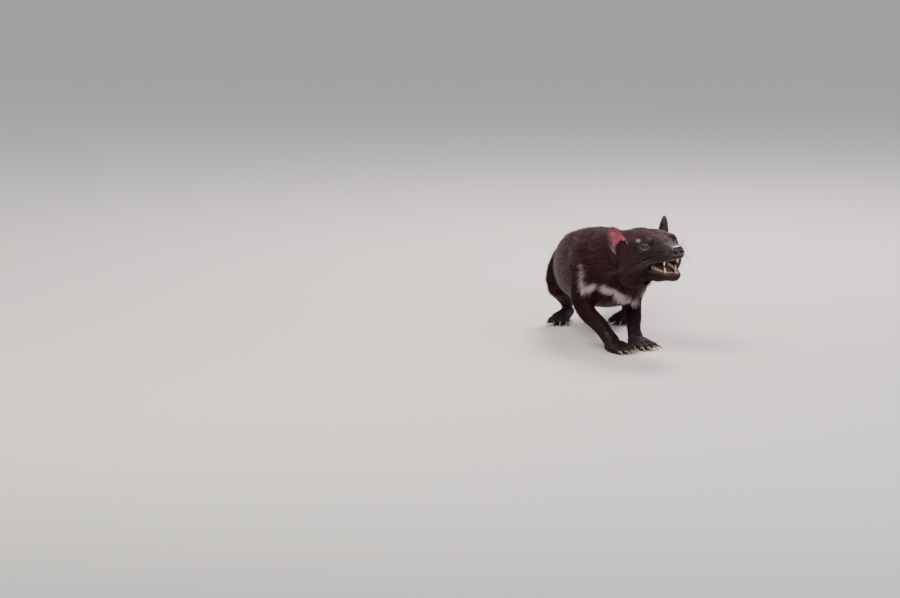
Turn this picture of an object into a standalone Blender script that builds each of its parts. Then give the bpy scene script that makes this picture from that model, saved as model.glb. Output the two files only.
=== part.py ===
# A Tasmanian devil, life size, braced on four bent legs with its trunk curved to the left,
# its head turned and tilted, and its jaws parted. Metres, +Z up, facing +X, floor at z = 0.
# The flesh is modelled whole from tapered tubes and ellipsoids, fused by a voxel remesh,
# smoothed, thinned out, and then parted by thin cuts. Ears, eyes, nose, tongue and claws
# are pieces of their own, each set in a socket that clears it by GAP.

import math
import random

import bmesh
import bpy
import numpy as np
from mathutils import Matrix, Vector

# Driving dimensions
TRUNK_LENGTH = 0.436  # breast to tail root, along the spine
TAIL_LENGTH = 0.235
GAP = 0.0003  # what each node keeps from its neighbours
VOXEL = 0.0017  # grain of the fused flesh
MOUTH_VOXEL = 0.0010
BROAD_ROUNDS = 26  # smoothing rounds of trunk and limbs, and then of everything
ALL_ROUNDS = 3
FLESH_TRIANGLES = 5100
COARSE_SHARE = 0.9  # how much coarser the trunk may get than the head and the feet
COARSE_PULL = 0.06
SCRAP_VOLUME = 4e-7  # loose parts under this are dropped

# Pose: where the breast is, how the spine curves, and how the head is held
BREAST = (0.130, 0.0065)
FRONT_HEADING = 8.0
REAR_HEADING = -62.0
TAIL_HEADING = -30.0
HEAD_JOINT = (0.1255, 0.0083, 0.1720)
HEAD_YAW = 4.5
HEAD_PITCH = 6.0
HEAD_ROLL = 6.0
JAW_OPEN = 18.0
JAW_PIVOT = (0.030, 0.0, -0.012)

# Trunk stations: distance ahead of the breast, centre height, half width, half height up, down
TRUNK = (
    (-0.436, 0.128, 0.018, 0.020, 0.020),
    (-0.418, 0.124, 0.034, 0.036, 0.038),
    (-0.375, 0.118, 0.048, 0.050, 0.054),
    (-0.300, 0.117, 0.053, 0.055, 0.056),
    (-0.220, 0.122, 0.057, 0.061, 0.060),
    (-0.140, 0.131, 0.062, 0.069, 0.069),
    (-0.090, 0.133, 0.0635, 0.0725, 0.070),
    (-0.035, 0.132, 0.056, 0.065, 0.059),
    (-0.008, 0.129, 0.040, 0.048, 0.044),
    (0.006, 0.127, 0.018, 0.022, 0.020),
)

# Tail stations: the same columns
TAIL = (
    (-0.400, 0.124, 0.029, 0.030, 0.030),
    (-0.440, 0.126, 0.0205, 0.0215, 0.0215),
    (-0.500, 0.122, 0.0150, 0.0155, 0.0155),
    (-0.560, 0.112, 0.0118, 0.0120, 0.0120),
    (-0.620, 0.102, 0.0088, 0.0090, 0.0090),
    (-0.655, 0.099, 0.0058, 0.0060, 0.0060),
    (-0.668, 0.099, 0.0025, 0.0030, 0.0030),
)

# The tail's brush: rows of flat bent locks, each row turned half a lock from the one before.
# Pairs hold a value at the root and one at the tip.
LOCK_ROWS = 9
LOCKS_IN_ROW = (7, 5)
LOCK_REACH = (-0.450, -0.658)  # first and last row, ahead of the breast
LOCK_LENGTH = (0.044, 0.036)
LOCK_WIDTH = (0.0140, 0.0090)
LOCK_SECTIONS = ((0.0, 0.55), (0.34, 1.0), (0.70, 0.62))  # share of the length, share of the width
LOCK_THICKNESS = 0.0022
LOCK_RISE = 0.0068  # how far a tip stands off the surface that it grows from
LOCK_ROOT = 0.0045  # how deep a root is sunk
LOCK_SEED = 11

# Skull stations in the head's frame: distance ahead of the skull joint, and the same columns
SKULL = (
    (-0.034, -0.003, 0.040, 0.032, 0.038),
    (-0.005, 0.000, 0.051, 0.0365, 0.042),
    (0.028, 0.002, 0.0540, 0.0375, 0.040),
    (0.052, 0.003, 0.0510, 0.0350, 0.032),
    (0.071, 0.002, 0.0415, 0.0300, 0.0225),
    (0.0867, 0.001, 0.0315, 0.0235, 0.0170),
    (0.1015, -0.001, 0.0250, 0.0175, 0.0140),
    (0.1154, -0.002, 0.0210, 0.0138, 0.0120),
    (0.1242, -0.003, 0.0160, 0.0112, 0.0090),
    (0.1285, -0.004, 0.0080, 0.0060, 0.0050),
)

# Lower jaw stations in the jaw's frame, which turns about JAW_PIVOT
JAW = (
    (-0.010, -0.023, 0.034, 0.016, 0.017),
    (0.030, -0.016, 0.0330, 0.0135, 0.0135),
    (0.0545, -0.010, 0.0265, 0.0092, 0.0110),
    (0.0725, -0.007, 0.0195, 0.0073, 0.0090),
    (0.086, -0.005, 0.0140, 0.0063, 0.0075),
    (0.0923, -0.005, 0.0070, 0.0040, 0.0050),
)

# The hollow of the open mouth, above and below: the same columns
PALATE_HOLLOW = (
    (0.052, -0.020, 0.020, 0.006, 0.010),
    (0.073, -0.019, 0.0250, 0.010, 0.012),
    (0.0911, -0.016, 0.0205, 0.0090, 0.012),
    (0.1067, -0.013, 0.0160, 0.0068, 0.010),
    (0.1194, -0.012, 0.0105, 0.0048, 0.008),
)
FLOOR_HOLLOW = (
    (0.022, -0.004, 0.020, 0.008, 0.007),
    (0.045, -0.002, 0.0215, 0.010, 0.0078),
    (0.0626, -0.001, 0.0165, 0.010, 0.0066),
    (0.0752, 0.000, 0.0116, 0.010, 0.0056),
    (0.0833, 0.001, 0.0068, 0.008, 0.0045),
)

# Pieces of the left side of the head, in its frame; the right side mirrors them
EYE_AT = (0.0810, 0.0288, 0.0112)
EYE_RADIUS = 0.0078
EYE_LOOK = (0.58, 0.79, 0.20)
EYE_SLIT = (-0.80, 0.58, 0.16)  # the way the lids part
EYE_OPENING = (0.0075, 0.0064, 0.0039)
LID_THICKNESS = 0.0016
EAR_AT = (0.0400, 0.0465, -0.003)
EAR_RISE = (-0.20, 0.20, 0.95)
EAR_OUTWARD = (0.36, 0.93, 0.0)
EAR_HEIGHT = 0.056
EAR_HALF_WIDTH = 0.0195
EAR_CUP = 0.0165
EAR_THICKNESS = 0.0028
EAR_SINK = (0.014, 0.30)  # how deep the foot dives into the head, and up to what share of the height
EAR_GRID = (8, 8)  # faces across and up

# Centre and radii of the forms laid over the skull
HEAD_PADS = (
    ((0.046, 0.034, -0.016), (0.036, 0.022, 0.031)),  # cheek muscle
    ((0.030, 0.028, -0.036), (0.034, 0.020, 0.024)),  # throat, under the cheek
    ((0.076, 0.0240, 0.0195), (0.017, 0.0105, 0.0068)),  # brow
    ((0.070, 0.0330, 0.0000), (0.016, 0.0095, 0.0120)),  # cheekbone
    ((0.1094, 0.0140, -0.0045), (0.017, 0.0100, 0.0100)),  # whisker bed
    ((0.012, 0.012, 0.0330), (0.032, 0.016, 0.0080)),  # jaw muscle on the crown
)
CHIN = ((0.0824, 0.0, -0.0075), (0.011, 0.0115, 0.0068))

# Lips: ahead, half width, height and thickness, from the cheek to the middle of the front.
# The upper one is in the head's frame, the lower one in the jaw's.
UPPER_LIP = (
    (0.066, 0.0335, -0.0185, 0.0040),
    (0.078, 0.0295, -0.0162, 0.0040),
    (0.0911, 0.0250, -0.0142, 0.0038),
    (0.1041, 0.0205, -0.0132, 0.0036),
    (0.1154, 0.0165, -0.0125, 0.0034),
    (0.1233, 0.0112, -0.0115, 0.0032),
    (0.1266, 0.0058, -0.0112, 0.0030),
    (0.1275, 0.0, -0.0112, 0.0029),
)
LOWER_LIP = (
    (0.030, 0.0295, -0.0060, 0.0038),
    (0.045, 0.0262, -0.0042, 0.0036),
    (0.059, 0.0220, -0.0032, 0.0033),
    (0.0725, 0.0168, -0.0026, 0.0031),
    (0.0837, 0.0116, -0.0022, 0.0029),
    (0.0892, 0.0062, -0.0022, 0.0028),
    (0.0905, 0.0, -0.0022, 0.0027),
)

# Nose and tongue: ahead, side, height, half width, half height up, down
NOSE = (
    (0.1207, 0, -0.0005, 0.0112, 0.0092, 0.0072),
    (0.1268, 0, -0.0010, 0.0128, 0.0104, 0.0082),
    (0.1307, 0, -0.0015, 0.0106, 0.0086, 0.0070),
    (0.1324, 0, -0.0020, 0.0056, 0.0044, 0.0038),
)
NOSTRILS = (
    ((0.1318, 0.0054, -0.0018), (0.0040, 0.0022, 0.0020), 25),  # centre, radii, turn in degrees
    ((0.1290, 0.0092, 0.0000), (0.0045, 0.0036, 0.0010), 30),
)
TONGUE = (
    (0.030, 0, -0.0065, 0.0120, 0.0050, 0.0035),
    (0.050, 0, -0.0045, 0.0125, 0.0050, 0.0040),
    (0.0662, 0, -0.0035, 0.0095, 0.0040, 0.0035),
    (0.077, 0, -0.0030, 0.0050, 0.0025, 0.0025),
)

# Neck: where a row is in the straight trunk or in the head's frame, half width, half height up,
# down. The throat is a second, thinner tube under the first.
NECK_IN_TRUNK = ((-0.100, 0.0, 0.158, 0.052, 0.050, 0.055), (-0.045, 0.0, 0.148, 0.058, 0.058, 0.055))
NECK_IN_HEAD = (0.012, 0.0, -0.004, 0.050, 0.042, 0.044)
THROAT_IN_TRUNK = (-0.020, 0.0, 0.128, 0.040, 0.040, 0.036)
THROAT_IN_HEAD = (0.030, 0.0, -0.034, 0.034, 0.024, 0.022)

# Shoulder and haunch muscles: centre (the side one is a distance from the middle line), radii
SHOULDER = ((-0.085, 0.041, 0.140), (0.044, 0.026, 0.050))
HAUNCH = ((-0.348, 0.032, 0.122), (0.054, 0.029, 0.044))

# Colours and finishes
FUR_BLACK = (0.030, 0.017, 0.017)
EAR_SKIN = (0.25, 0.07, 0.09)
NOSE_BLACK = (0.010, 0.010, 0.014)
EYE_BLACK = (0.008, 0.006, 0.006)
TONGUE_PINK = (0.42, 0.13, 0.14)
CLAW_HORN = (0.16, 0.12, 0.10)

STEP = 0.002  # spacing of the spine table
FLOOR_BLOCK = ((-0.1, 0.1, -0.05), (1.2, 1.0, 0.1))  # centre and size


def clear_scene():
    for obj in list(bpy.data.objects):
        bpy.data.objects.remove(obj, do_unlink=True)


def spine_table():
    """Distances ahead of the breast, and the point and heading of the spine's plan curve at each."""
    ahead = np.arange(-TRUNK_LENGTH - TAIL_LENGTH - 0.05, 0.10, STEP)
    bends = (-TRUNK_LENGTH - 0.10, -TRUNK_LENGTH, 0.0)
    heading = np.radians(np.interp(ahead, bends, (TAIL_HEADING, REAR_HEADING, FRONT_HEADING)))
    x = np.cumsum(np.cos(heading)) * STEP
    y = np.cumsum(np.sin(heading)) * STEP
    x += BREAST[0] - np.interp(0, ahead, x)
    y += BREAST[1] - np.interp(0, ahead, y)
    return ahead, x, y, heading


SPINE = spine_table()


def posed(points):
    """Points of the straight animal (ahead of the breast, to the left, up), bent along the spine."""
    ahead, x, y, heading = SPINE
    points = np.asarray(points, float)
    turn = np.interp(points[:, 0], ahead, heading)
    px = np.interp(points[:, 0], ahead, x) - np.sin(turn) * points[:, 1]
    py = np.interp(points[:, 0], ahead, y) + np.cos(turn) * points[:, 1]
    return np.stack([px, py, points[:, 2]], axis=1)


def posed_frame(ahead, left, up):
    """The matrix that carries the straight animal's axes to the posed animal at one point."""
    origin = posed([(ahead, left, up)])[0]
    turn = float(np.interp(ahead, SPINE[0], SPINE[3]))
    return Matrix.Translation(Vector(origin)) @ Matrix.Rotation(turn, 4, "Z")


HEAD = (
    Matrix.Translation(HEAD_JOINT)
    @ Matrix.Rotation(math.radians(HEAD_YAW), 4, "Z")
    @ Matrix.Rotation(math.radians(-HEAD_PITCH), 4, "Y")
    @ Matrix.Rotation(math.radians(HEAD_ROLL), 4, "X")
)
JAW_FRAME = HEAD @ Matrix.Translation(JAW_PIVOT) @ Matrix.Rotation(math.radians(JAW_OPEN), 4, "Y")


def through(rows, count):
    """Rows read along a smooth curve through the given rows, evenly along its first three columns."""
    rows = np.asarray(rows, float)
    chord = np.linalg.norm(np.diff(rows[:, :3], axis=0), axis=1)
    knots = np.concatenate([[0], np.cumsum(chord)])
    slopes = np.gradient(rows, knots, axis=0)
    out = []
    for t in np.linspace(0, knots[-1], count):
        i = min(int(np.searchsorted(knots, t, side="right")) - 1, len(rows) - 2)
        width = knots[i + 1] - knots[i]
        f = (t - knots[i]) / width
        a = (1 + 2 * f) * (1 - f) ** 2 * rows[i] + f * (1 - f) ** 2 * width * slopes[i]
        b = f * f * (3 - 2 * f) * rows[i + 1] + f * f * (f - 1) * width * slopes[i + 1]
        out.append(a + b)
    return np.array(out)


def tube_mesh(rows, count, sides=24, power=2.3, across=(0, 1, 0), grow=0.0):
    """Points and faces of a closed tube through rows of x, y, z, half width, half height up, down."""
    rows = through(rows, count)
    centres = rows[:, :3]
    forward = np.gradient(centres, axis=0)
    forward /= np.linalg.norm(forward, axis=1)[:, None]
    side = np.asarray(across, float) - (forward @ np.asarray(across, float))[:, None] * forward
    side /= np.linalg.norm(side, axis=1)[:, None]
    up = np.cross(forward, side)
    centres = centres + forward * (np.linspace(-1, 1, count) * grow)[:, None]
    points = []
    for k in range(count):
        for j in range(sides):
            c, s = math.cos(2 * math.pi * j / sides), math.sin(2 * math.pi * j / sides)
            c = math.copysign(abs(c) ** (2 / power), c)
            s = math.copysign(abs(s) ** (2 / power), s)
            height = (rows[k, 4] if s > 0 else rows[k, 5]) + grow
            points.append(centres[k] + side[k] * c * (rows[k, 3] + grow) + up[k] * s * height)
    faces = [
        (
            k * sides + j,
            k * sides + (j + 1) % sides,
            (k + 1) * sides + (j + 1) % sides,
            (k + 1) * sides + j,
        )
        for k in range(count - 1)
        for j in range(sides)
    ]
    faces.append(tuple(range(sides)))
    faces.append(tuple(range((count - 1) * sides, count * sides)))
    return np.array(points), faces


def ball_mesh(centre, radii, turn=None, steps=(16, 10)):
    """Points and faces of an ellipsoid."""
    bm = bmesh.new()
    bmesh.ops.create_uvsphere(bm, u_segments=steps[0], v_segments=steps[1], radius=1)
    frame = Matrix.Translation(centre) @ (turn or Matrix.Identity(4)) @ Matrix.Diagonal((*radii, 1))
    bm.transform(frame)
    bm.verts.index_update()
    points = np.array([v.co[:] for v in bm.verts])
    faces = [tuple(v.index for v in f.verts) for f in bm.faces]
    bm.free()
    return points, faces


def moved(mesh, matrix):
    points, faces = mesh
    m = np.array(matrix)
    return points @ m[:3, :3].T + m[:3, 3], faces


def bent(mesh):
    return posed(mesh[0]), mesh[1]


def mirrored(mesh):
    """The same form on the animal's other side."""
    return mesh[0] * (1, -1, 1), mesh[1]


def on_side(point, side):
    """A point given for the left side, put on the side asked for (+1 left, -1 right)."""
    return (point[0], side * point[1], point[2])


def joined(meshes):
    points, faces, start = [], [], 0
    for p, f in meshes:
        points.append(p)
        faces += [tuple(i + start for i in face) for face in f]
        start += len(p)
    return np.concatenate(points), faces


def make_object(name, mesh):
    """An object of closed surfaces, all facing out."""
    data = bpy.data.meshes.new(name)
    data.from_pydata([tuple(p) for p in mesh[0]], [], mesh[1])
    bm = bmesh.new()
    bm.from_mesh(data)
    bmesh.ops.recalc_face_normals(bm, faces=bm.faces)
    bm.to_mesh(data)
    bm.free()
    obj = bpy.data.objects.new(name, data)
    bpy.context.scene.collection.objects.link(obj)
    return obj


def settle(obj):
    """Turns the object's modifiers into its mesh."""
    graph = bpy.context.evaluated_depsgraph_get()
    data = bpy.data.meshes.new_from_object(obj.evaluated_get(graph))
    obj.modifiers.clear()
    obj.data = data


def level(rows):
    """Stations on the animal's own middle line: a zero is put in for the side column."""
    return [(r[0], 0.0, *r[1:]) for r in rows]


def limb(rows, step, side):
    """Rows of a limb, set on one side: its lower end is shifted by step, ahead and outward."""
    moved_rows = []
    for row in rows:
        share = min(1.0, max(0.0, 1 - (row[2] - FOOT_TOP) / (LIMB_TOP - FOOT_TOP)))
        off = row[1] + step[1] * share
        moved_rows.append((row[0] + step[0] * share, side * off, *row[2:]))
    return moved_rows


# Limbs, drawn for the left side: distance ahead of the breast, distance from the middle line,
# height, half width, half height up, down. Each is then shifted by its foot's step.
LIMB_TOP = 0.130
FOOT_TOP = 0.020
FORELEG = (
    (-0.056, 0.042, 0.142, 0.024, 0.034, 0.036),
    (-0.064, 0.051, 0.110, 0.023, 0.029, 0.031),
    (-0.069, 0.054, 0.084, 0.0185, 0.023, 0.023),
    (-0.058, 0.051, 0.066, 0.0165, 0.0185, 0.0185),
    (-0.038, 0.043, 0.047, 0.0145, 0.0150, 0.0155),
    (-0.022, 0.037, 0.029, 0.0130, 0.0125, 0.0130),
    (-0.010, 0.034, 0.018, 0.0135, 0.0115, 0.0120),
)
FOREPAW = (
    (-0.024, 0.034, 0.0130, 0.0095, 0.0090, 0.0120),
    (-0.010, 0.034, 0.0125, 0.0150, 0.0105, 0.0135),
    (0.006, 0.034, 0.0110, 0.0178, 0.0100, 0.0120),
    (0.017, 0.034, 0.0095, 0.0165, 0.0075, 0.0105),
)
THIGH = (
    (-0.350, 0.028, 0.136, 0.026, 0.034, 0.038),
    (-0.336, 0.040, 0.112, 0.029, 0.040, 0.042),
    (-0.312, 0.053, 0.090, 0.0235, 0.031, 0.033),
    (-0.296, 0.058, 0.078, 0.0180, 0.021, 0.021),
)
SHANK = (
    (-0.300, 0.058, 0.080, 0.0165, 0.021, 0.021),
    (-0.330, 0.056, 0.062, 0.0150, 0.0185, 0.0185),
    (-0.356, 0.054, 0.043, 0.0120, 0.0140, 0.0145),
    (-0.374, 0.052, 0.026, 0.0105, 0.0105, 0.0120),
)
HINDPAW = (
    (-0.384, 0.052, 0.0170, 0.0080, 0.0080, 0.0090),
    (-0.366, 0.052, 0.0150, 0.0110, 0.0105, 0.0120),
    (-0.344, 0.052, 0.0125, 0.0140, 0.0105, 0.0135),
    (-0.328, 0.052, 0.0110, 0.0170, 0.0095, 0.0120),
    (-0.316, 0.052, 0.0095, 0.0155, 0.0075, 0.0105),
)

# Feet: name, side (+1 left), step ahead and outward, toe root ahead of the breast, paw's
# distance from the middle line, and the toes' offsets across the paw, outer side first
FORE_TOES = (0.0140, 0.0048, -0.0048, -0.0140, -0.0185)
HIND_TOES = (0.0128, 0.0044, -0.0044, -0.0128)
FEET = (
    ("forefoot_right", -1, (0.004, 0.003), 0.008, 0.034, FORE_TOES),
    ("forefoot_left", 1, (-0.006, -0.013), 0.008, 0.034, FORE_TOES),
    ("hindfoot_right", -1, (0.006, 0.000), -0.324, 0.052, HIND_TOES),
    ("hindfoot_left", 1, (-0.022, 0.000), -0.324, 0.052, HIND_TOES),
)
TOE_LENGTH = 0.0225
TOE_SPREAD = 750.0  # degrees of turn for each metre off the paw's middle
TOE_ROOT_HEIGHT = 0.0095
THUMB = 4  # the fifth toe is shorter and sits further back
THUMB_SCALE = 0.78
THUMB_BACK = 0.013
# Toe sections: share of the length, height, radius
TOE_SECTIONS = (
    (0.0, 0.0095, 0.0058),
    (0.42, 0.0100, 0.0054),
    (0.78, 0.0080, 0.0052),
    (1.0, 0.0058, 0.0042),
)
CLAW_LENGTH = 0.0145
CLAW_ROOT = 0.0024  # half width where it leaves the toe
CLAW_SUNK = 0.0035  # length inside the toe
CLAW_HEIGHTS = (0.0066, 0.0012, 0.0052)  # at the root, the arch's rise, the drop to the point


def toes(foot):
    """Root, direction and scale of each toe of a foot, in the straight animal's axes."""
    name, side, step, ahead, off, across = foot
    found = []
    for k, offset in enumerate(across):
        turn = math.radians(TOE_SPREAD * offset) * side
        scale = THUMB_SCALE if k == THUMB else 1.0 - 0.06 * abs(k - 1.5)
        back = THUMB_BACK if k == THUMB else 0.10 * abs(offset)
        root = (ahead + step[0] - back, side * (off + step[1] + offset), TOE_ROOT_HEIGHT)
        found.append((root, (math.cos(turn), math.sin(turn), 0.0), scale))
    return found


def toe_rows(root, along, scale):
    """A toe that arches a little and comes down to the floor at its tip."""
    rows = []
    for share, height, radius in TOE_SECTIONS:
        ahead = TOE_LENGTH * scale * share
        size = radius * scale
        rows.append((root[0] + along[0] * ahead, root[1] + along[1] * ahead, height, size, size, size))
    return rows


def claw_rows(root, along, scale):
    """A claw that leaves the toe's tip and curves down to a blunt point above the floor."""
    start = TOE_LENGTH * scale - CLAW_SUNK
    at_root, rise, fall = CLAW_HEIGHTS
    rows = []
    for f in (0.0, 0.25, 0.5, 0.75, 1.0):
        ahead = start + CLAW_SUNK + CLAW_LENGTH * scale * f
        width = CLAW_ROOT * scale * (1 - 0.86 * f**1.3)
        height = at_root + rise * math.sin(math.pi * f) - fall * f * f
        rows.append(
            (root[0] + along[0] * ahead, root[1] + along[1] * ahead, height, width, width * 1.25, width)
        )
    return [(root[0] + along[0] * start, root[1] + along[1] * start, *rows[0][2:])] + rows


def body_forms():
    """The flesh of the straight animal, bent along its spine."""
    forms = [
        tube_mesh(level(TRUNK), 60, sides=40),
        tube_mesh(level(TAIL), 40, power=2.0),
    ]
    for side, fore, hind in ((-1, FEET[0], FEET[2]), (1, FEET[1], FEET[3])):
        forms += [
            tube_mesh(limb(FORELEG, fore[2], side), 40),
            tube_mesh(limb(THIGH, hind[2], side), 30),
            tube_mesh(limb(SHANK, hind[2], side), 30),
            tube_mesh(limb(FOREPAW, fore[2], side), 16),
            tube_mesh(limb(HINDPAW, hind[2], side), 20),
            ball_mesh(on_side(SHOULDER[0], side), SHOULDER[1]),
            ball_mesh(on_side(HAUNCH[0], side), HAUNCH[1]),
        ]
    for foot in FEET:
        forms += [tube_mesh(toe_rows(*toe), 12, sides=12, power=2.0) for toe in toes(foot)]
    return bent(joined(forms))


def head_forms():
    """The flesh of the head and the lower jaw."""
    pads = [ball_mesh(*pad) for pad in HEAD_PADS]
    pads.append(ball_mesh(EYE_AT, (EYE_RADIUS + LID_THICKNESS,) * 3))
    upper = [tube_mesh(level(SKULL), 40, sides=36, power=2.35), *pads, *map(mirrored, pads)]
    lower = [tube_mesh(level(JAW), 30, sides=30, power=2.5), ball_mesh(*CHIN)]
    upper.append(ridge_mesh(UPPER_LIP))
    lower.append(ridge_mesh(LOWER_LIP))
    return joined([moved(joined(upper), HEAD), moved(joined(lower), JAW_FRAME)])


def ridge_mesh(half):
    """A round ridge along a path given for the left side from its back end to the middle line."""
    left = [(x, y, z, r, r, r) for x, y, z, r in half]
    right = [(x, -y, z, r, r, r) for x, y, z, r in half if y > 0]
    return tube_mesh(right + left[::-1], 36, sides=10, power=2.0, across=(0, 0, 1))


def neck_forms():
    """The neck, from inside the shoulders to inside the skull, and the throat under it."""
    neck = [(*posed([row[:3]])[0], *row[3:]) for row in NECK_IN_TRUNK]
    neck.append((*(HEAD @ Vector(NECK_IN_HEAD[:3])), *NECK_IN_HEAD[3:]))
    throat = [
        (*posed([THROAT_IN_TRUNK[:3]])[0], *THROAT_IN_TRUNK[3:]),
        (*(HEAD @ Vector(THROAT_IN_HEAD[:3])), *THROAT_IN_HEAD[3:]),
    ]
    return joined([tube_mesh(neck, 24, sides=32), tube_mesh(throat, 12)])


def gum_forms():
    """Low ridges inside the lips that carry the teeth."""
    upper = [(x, y, UPPER_GUM[0], UPPER_GUM[1]) for x, y in (*UPPER_ARCH, (UPPER_FRONT, 0.0))]
    lower = [(x, y, LOWER_GUM[0], LOWER_GUM[1]) for x, y in (*LOWER_ARCH, (LOWER_FRONT, 0.0))]
    return joined([moved(ridge_mesh(upper), HEAD), moved(ridge_mesh(lower), JAW_FRAME)])


# The tooth rows' paths: ahead and half width, from the cheek to the front, and where they cross
# the middle line. Each gum: height and radius.
UPPER_ARCH = ((0.072, 0.0190), (0.0876, 0.0178), (0.1024, 0.0150), (0.1128, 0.0120), (0.1194, 0.0065))
LOWER_ARCH = ((0.044, 0.0170), (0.0581, 0.0150), (0.0689, 0.0124), (0.0779, 0.0092), (0.0828, 0.0045))
UPPER_FRONT = 0.1208
LOWER_FRONT = 0.0840
UPPER_GUM = (-0.0110, 0.0034)
LOWER_GUM = (-0.0020, 0.0030)

# Teeth of one side, front first: place along the arch (0 at the middle of the front, 1 at the
# cheek), length, half width along the row, half width across
UPPER_TEETH = (
    (0.05, 0.0045, 0.0011, 0.0011),
    (0.12, 0.0048, 0.0012, 0.0012),
    (0.19, 0.0048, 0.0012, 0.0012),
    (0.26, 0.0050, 0.0013, 0.0013),
    (0.37, 0.0125, 0.0029, 0.0025),
    (0.49, 0.0050, 0.0022, 0.0018),
    (0.58, 0.0058, 0.0026, 0.0020),
    (0.69, 0.0070, 0.0034, 0.0026),
    (0.81, 0.0075, 0.0036, 0.0030),
    (0.93, 0.0070, 0.0034, 0.0030),
)
LOWER_TEETH = (
    (0.06, 0.0042, 0.0011, 0.0011),
    (0.14, 0.0044, 0.0012, 0.0012),
    (0.22, 0.0044, 0.0012, 0.0012),
    (0.33, 0.0115, 0.0027, 0.0024),
    (0.46, 0.0048, 0.0022, 0.0018),
    (0.56, 0.0055, 0.0026, 0.0020),
    (0.67, 0.0068, 0.0034, 0.0024),
    (0.80, 0.0072, 0.0036, 0.0026),
    (0.93, 0.0068, 0.0034, 0.0026),
)


def tooth_mesh(foot, outward, length, along, across, points_up):
    """A pointed tooth with six sides whose root is sunk in the gum and whose tip leans back."""
    axis = 1 if points_up else -1
    forward = np.array([outward[1], -outward[0], 0.0])
    points = []
    for share, width in ((-0.30, 1.0), (0.10, 1.0), (0.60, 0.62)):
        middle = np.array([foot[0], foot[1], foot[2] + axis * length * share])
        middle[0] -= 0.10 * length * max(share, 0) ** 2
        for j in range(6):
            a = math.pi * j / 3
            points.append(
                middle
                + forward * along * width * math.cos(a)
                + np.array(outward) * across * width * math.sin(a)
            )
    points.append(np.array([foot[0] - 0.14 * length, foot[1], foot[2] + axis * length]))
    faces = [tuple(range(6))]
    for k in range(2):
        faces += [
            (k * 6 + j, k * 6 + (j + 1) % 6, (k + 1) * 6 + (j + 1) % 6, (k + 1) * 6 + j)
            for j in range(6)
        ]
    faces += [(12 + j, 12 + (j + 1) % 6, 18) for j in range(6)]
    return np.array(points), faces


def teeth_meshes(arch, height, teeth, points_up):
    """The teeth of both sides of a jaw, stood along its arch."""
    line = through([(x, y, height) for x, y in reversed(arch)], 60)
    line = np.concatenate([[(line[0][0] + 0.0010, 0.0, height)], line])
    reach = np.concatenate([[0], np.cumsum(np.linalg.norm(np.diff(line, axis=0), axis=1))])
    meshes = []
    for place, length, along, across in teeth:
        at = np.array([np.interp(place * reach[-1], reach, line[:, k]) for k in range(3)])
        ahead = np.array([np.interp(place * reach[-1] + 0.001, reach, line[:, k]) for k in range(3)])
        run = (ahead - at) / np.linalg.norm(ahead - at)
        outward = (-run[1], run[0], 0.0) if run[0] > 0 else (run[1], -run[0], 0.0)
        tooth = tooth_mesh(at, outward, length, along, across, points_up)
        meshes += [tooth, mirrored(tooth)]
    return meshes


def ear_mesh(side):
    """A cupped ear: a rounded triangle that hollows to the outside, with its foot in the head."""
    rise = Vector(EAR_RISE).normalized()
    outward = Vector(EAR_OUTWARD)
    outward = (outward - outward.dot(rise) * rise).normalized()
    width_way = rise.cross(outward).normalized()
    columns, rows = EAR_GRID
    front, back = [], []
    for i in range(rows + 1):
        v = i / rows
        half = EAR_HALF_WIDTH * (0.55 + 1.30 * v * (1 - v)) * (1 - v**7) ** 0.5 + 0.0012
        depth = EAR_CUP * (1 - 0.55 * v) * (1 - v**6)
        for j in range(columns + 1):
            w = -1 + 2 * j / columns
            rim = 1 - abs(w) ** 2.2
            thick = EAR_THICKNESS * (0.45 + 0.55 * rim * (1 - 0.4 * v)) * (1 + 1.6 * (1 - v) ** 3)
            at = Vector(EAR_AT) + rise * (EAR_HEIGHT * v) + width_way * (half * w)
            sink = EAR_SINK[0] * max(0.0, 1 - v / EAR_SINK[1]) ** 2
            inner = at - outward * (depth * rim + sink)
            front.append(inner)
            back.append(inner - outward * thick)
    n = columns + 1
    points = [(p.x, p.y, p.z) for p in front + back]
    offset = len(front)
    faces = []
    for i in range(rows):
        for j in range(columns):
            a, b, c, d = i * n + j, i * n + j + 1, (i + 1) * n + j + 1, (i + 1) * n + j
            faces += [(a, b, c), (a, c, d), (a + offset, c + offset, b + offset)]
            faces.append((a + offset, d + offset, c + offset))
    rim_loop = list(range(n))
    rim_loop += [i * n + columns for i in range(1, rows + 1)]
    rim_loop += [rows * n + j for j in range(columns - 1, -1, -1)]
    rim_loop += [i * n for i in range(rows - 1, 0, -1)]
    for a, b in zip(rim_loop, rim_loop[1:] + rim_loop[:1]):
        faces += [(a, b + offset, b), (a, a + offset, b + offset)]
    mesh = (np.array(points), faces)
    if side < 0:
        mesh = mirrored(mesh)
    return moved(mesh, HEAD)


def nose_mesh():
    """The bare nose: a rounded pad."""
    return moved(tube_mesh(NOSE, 7, sides=16, power=2.5), HEAD)


def nostril_meshes():
    """The blind nostrils: a round hole each, drawn out to a slit at the side."""
    holes = []
    for centre, radii, degrees in NOSTRILS:
        turn = Matrix.Rotation(math.radians(degrees), 4, "X")
        hole = ball_mesh(centre, radii, turn, steps=(8, 5))
        holes += [moved(hole, HEAD), moved(mirrored(hole), HEAD)]
    return holes


def tongue_mesh():
    """The tongue, lying in the floor of the mouth."""
    return moved(tube_mesh(TONGUE, 9, sides=14, power=2.2), JAW_FRAME)


def boolean(obj, operand, operation, solver="EXACT"):
    modifier = obj.modifiers.new("cut", "BOOLEAN")
    modifier.operation = operation
    modifier.solver = solver
    if isinstance(operand, bpy.types.Collection):
        modifier.operand_type = "COLLECTION"
        modifier.collection = operand
    else:
        modifier.object = operand
    settle(obj)


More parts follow.
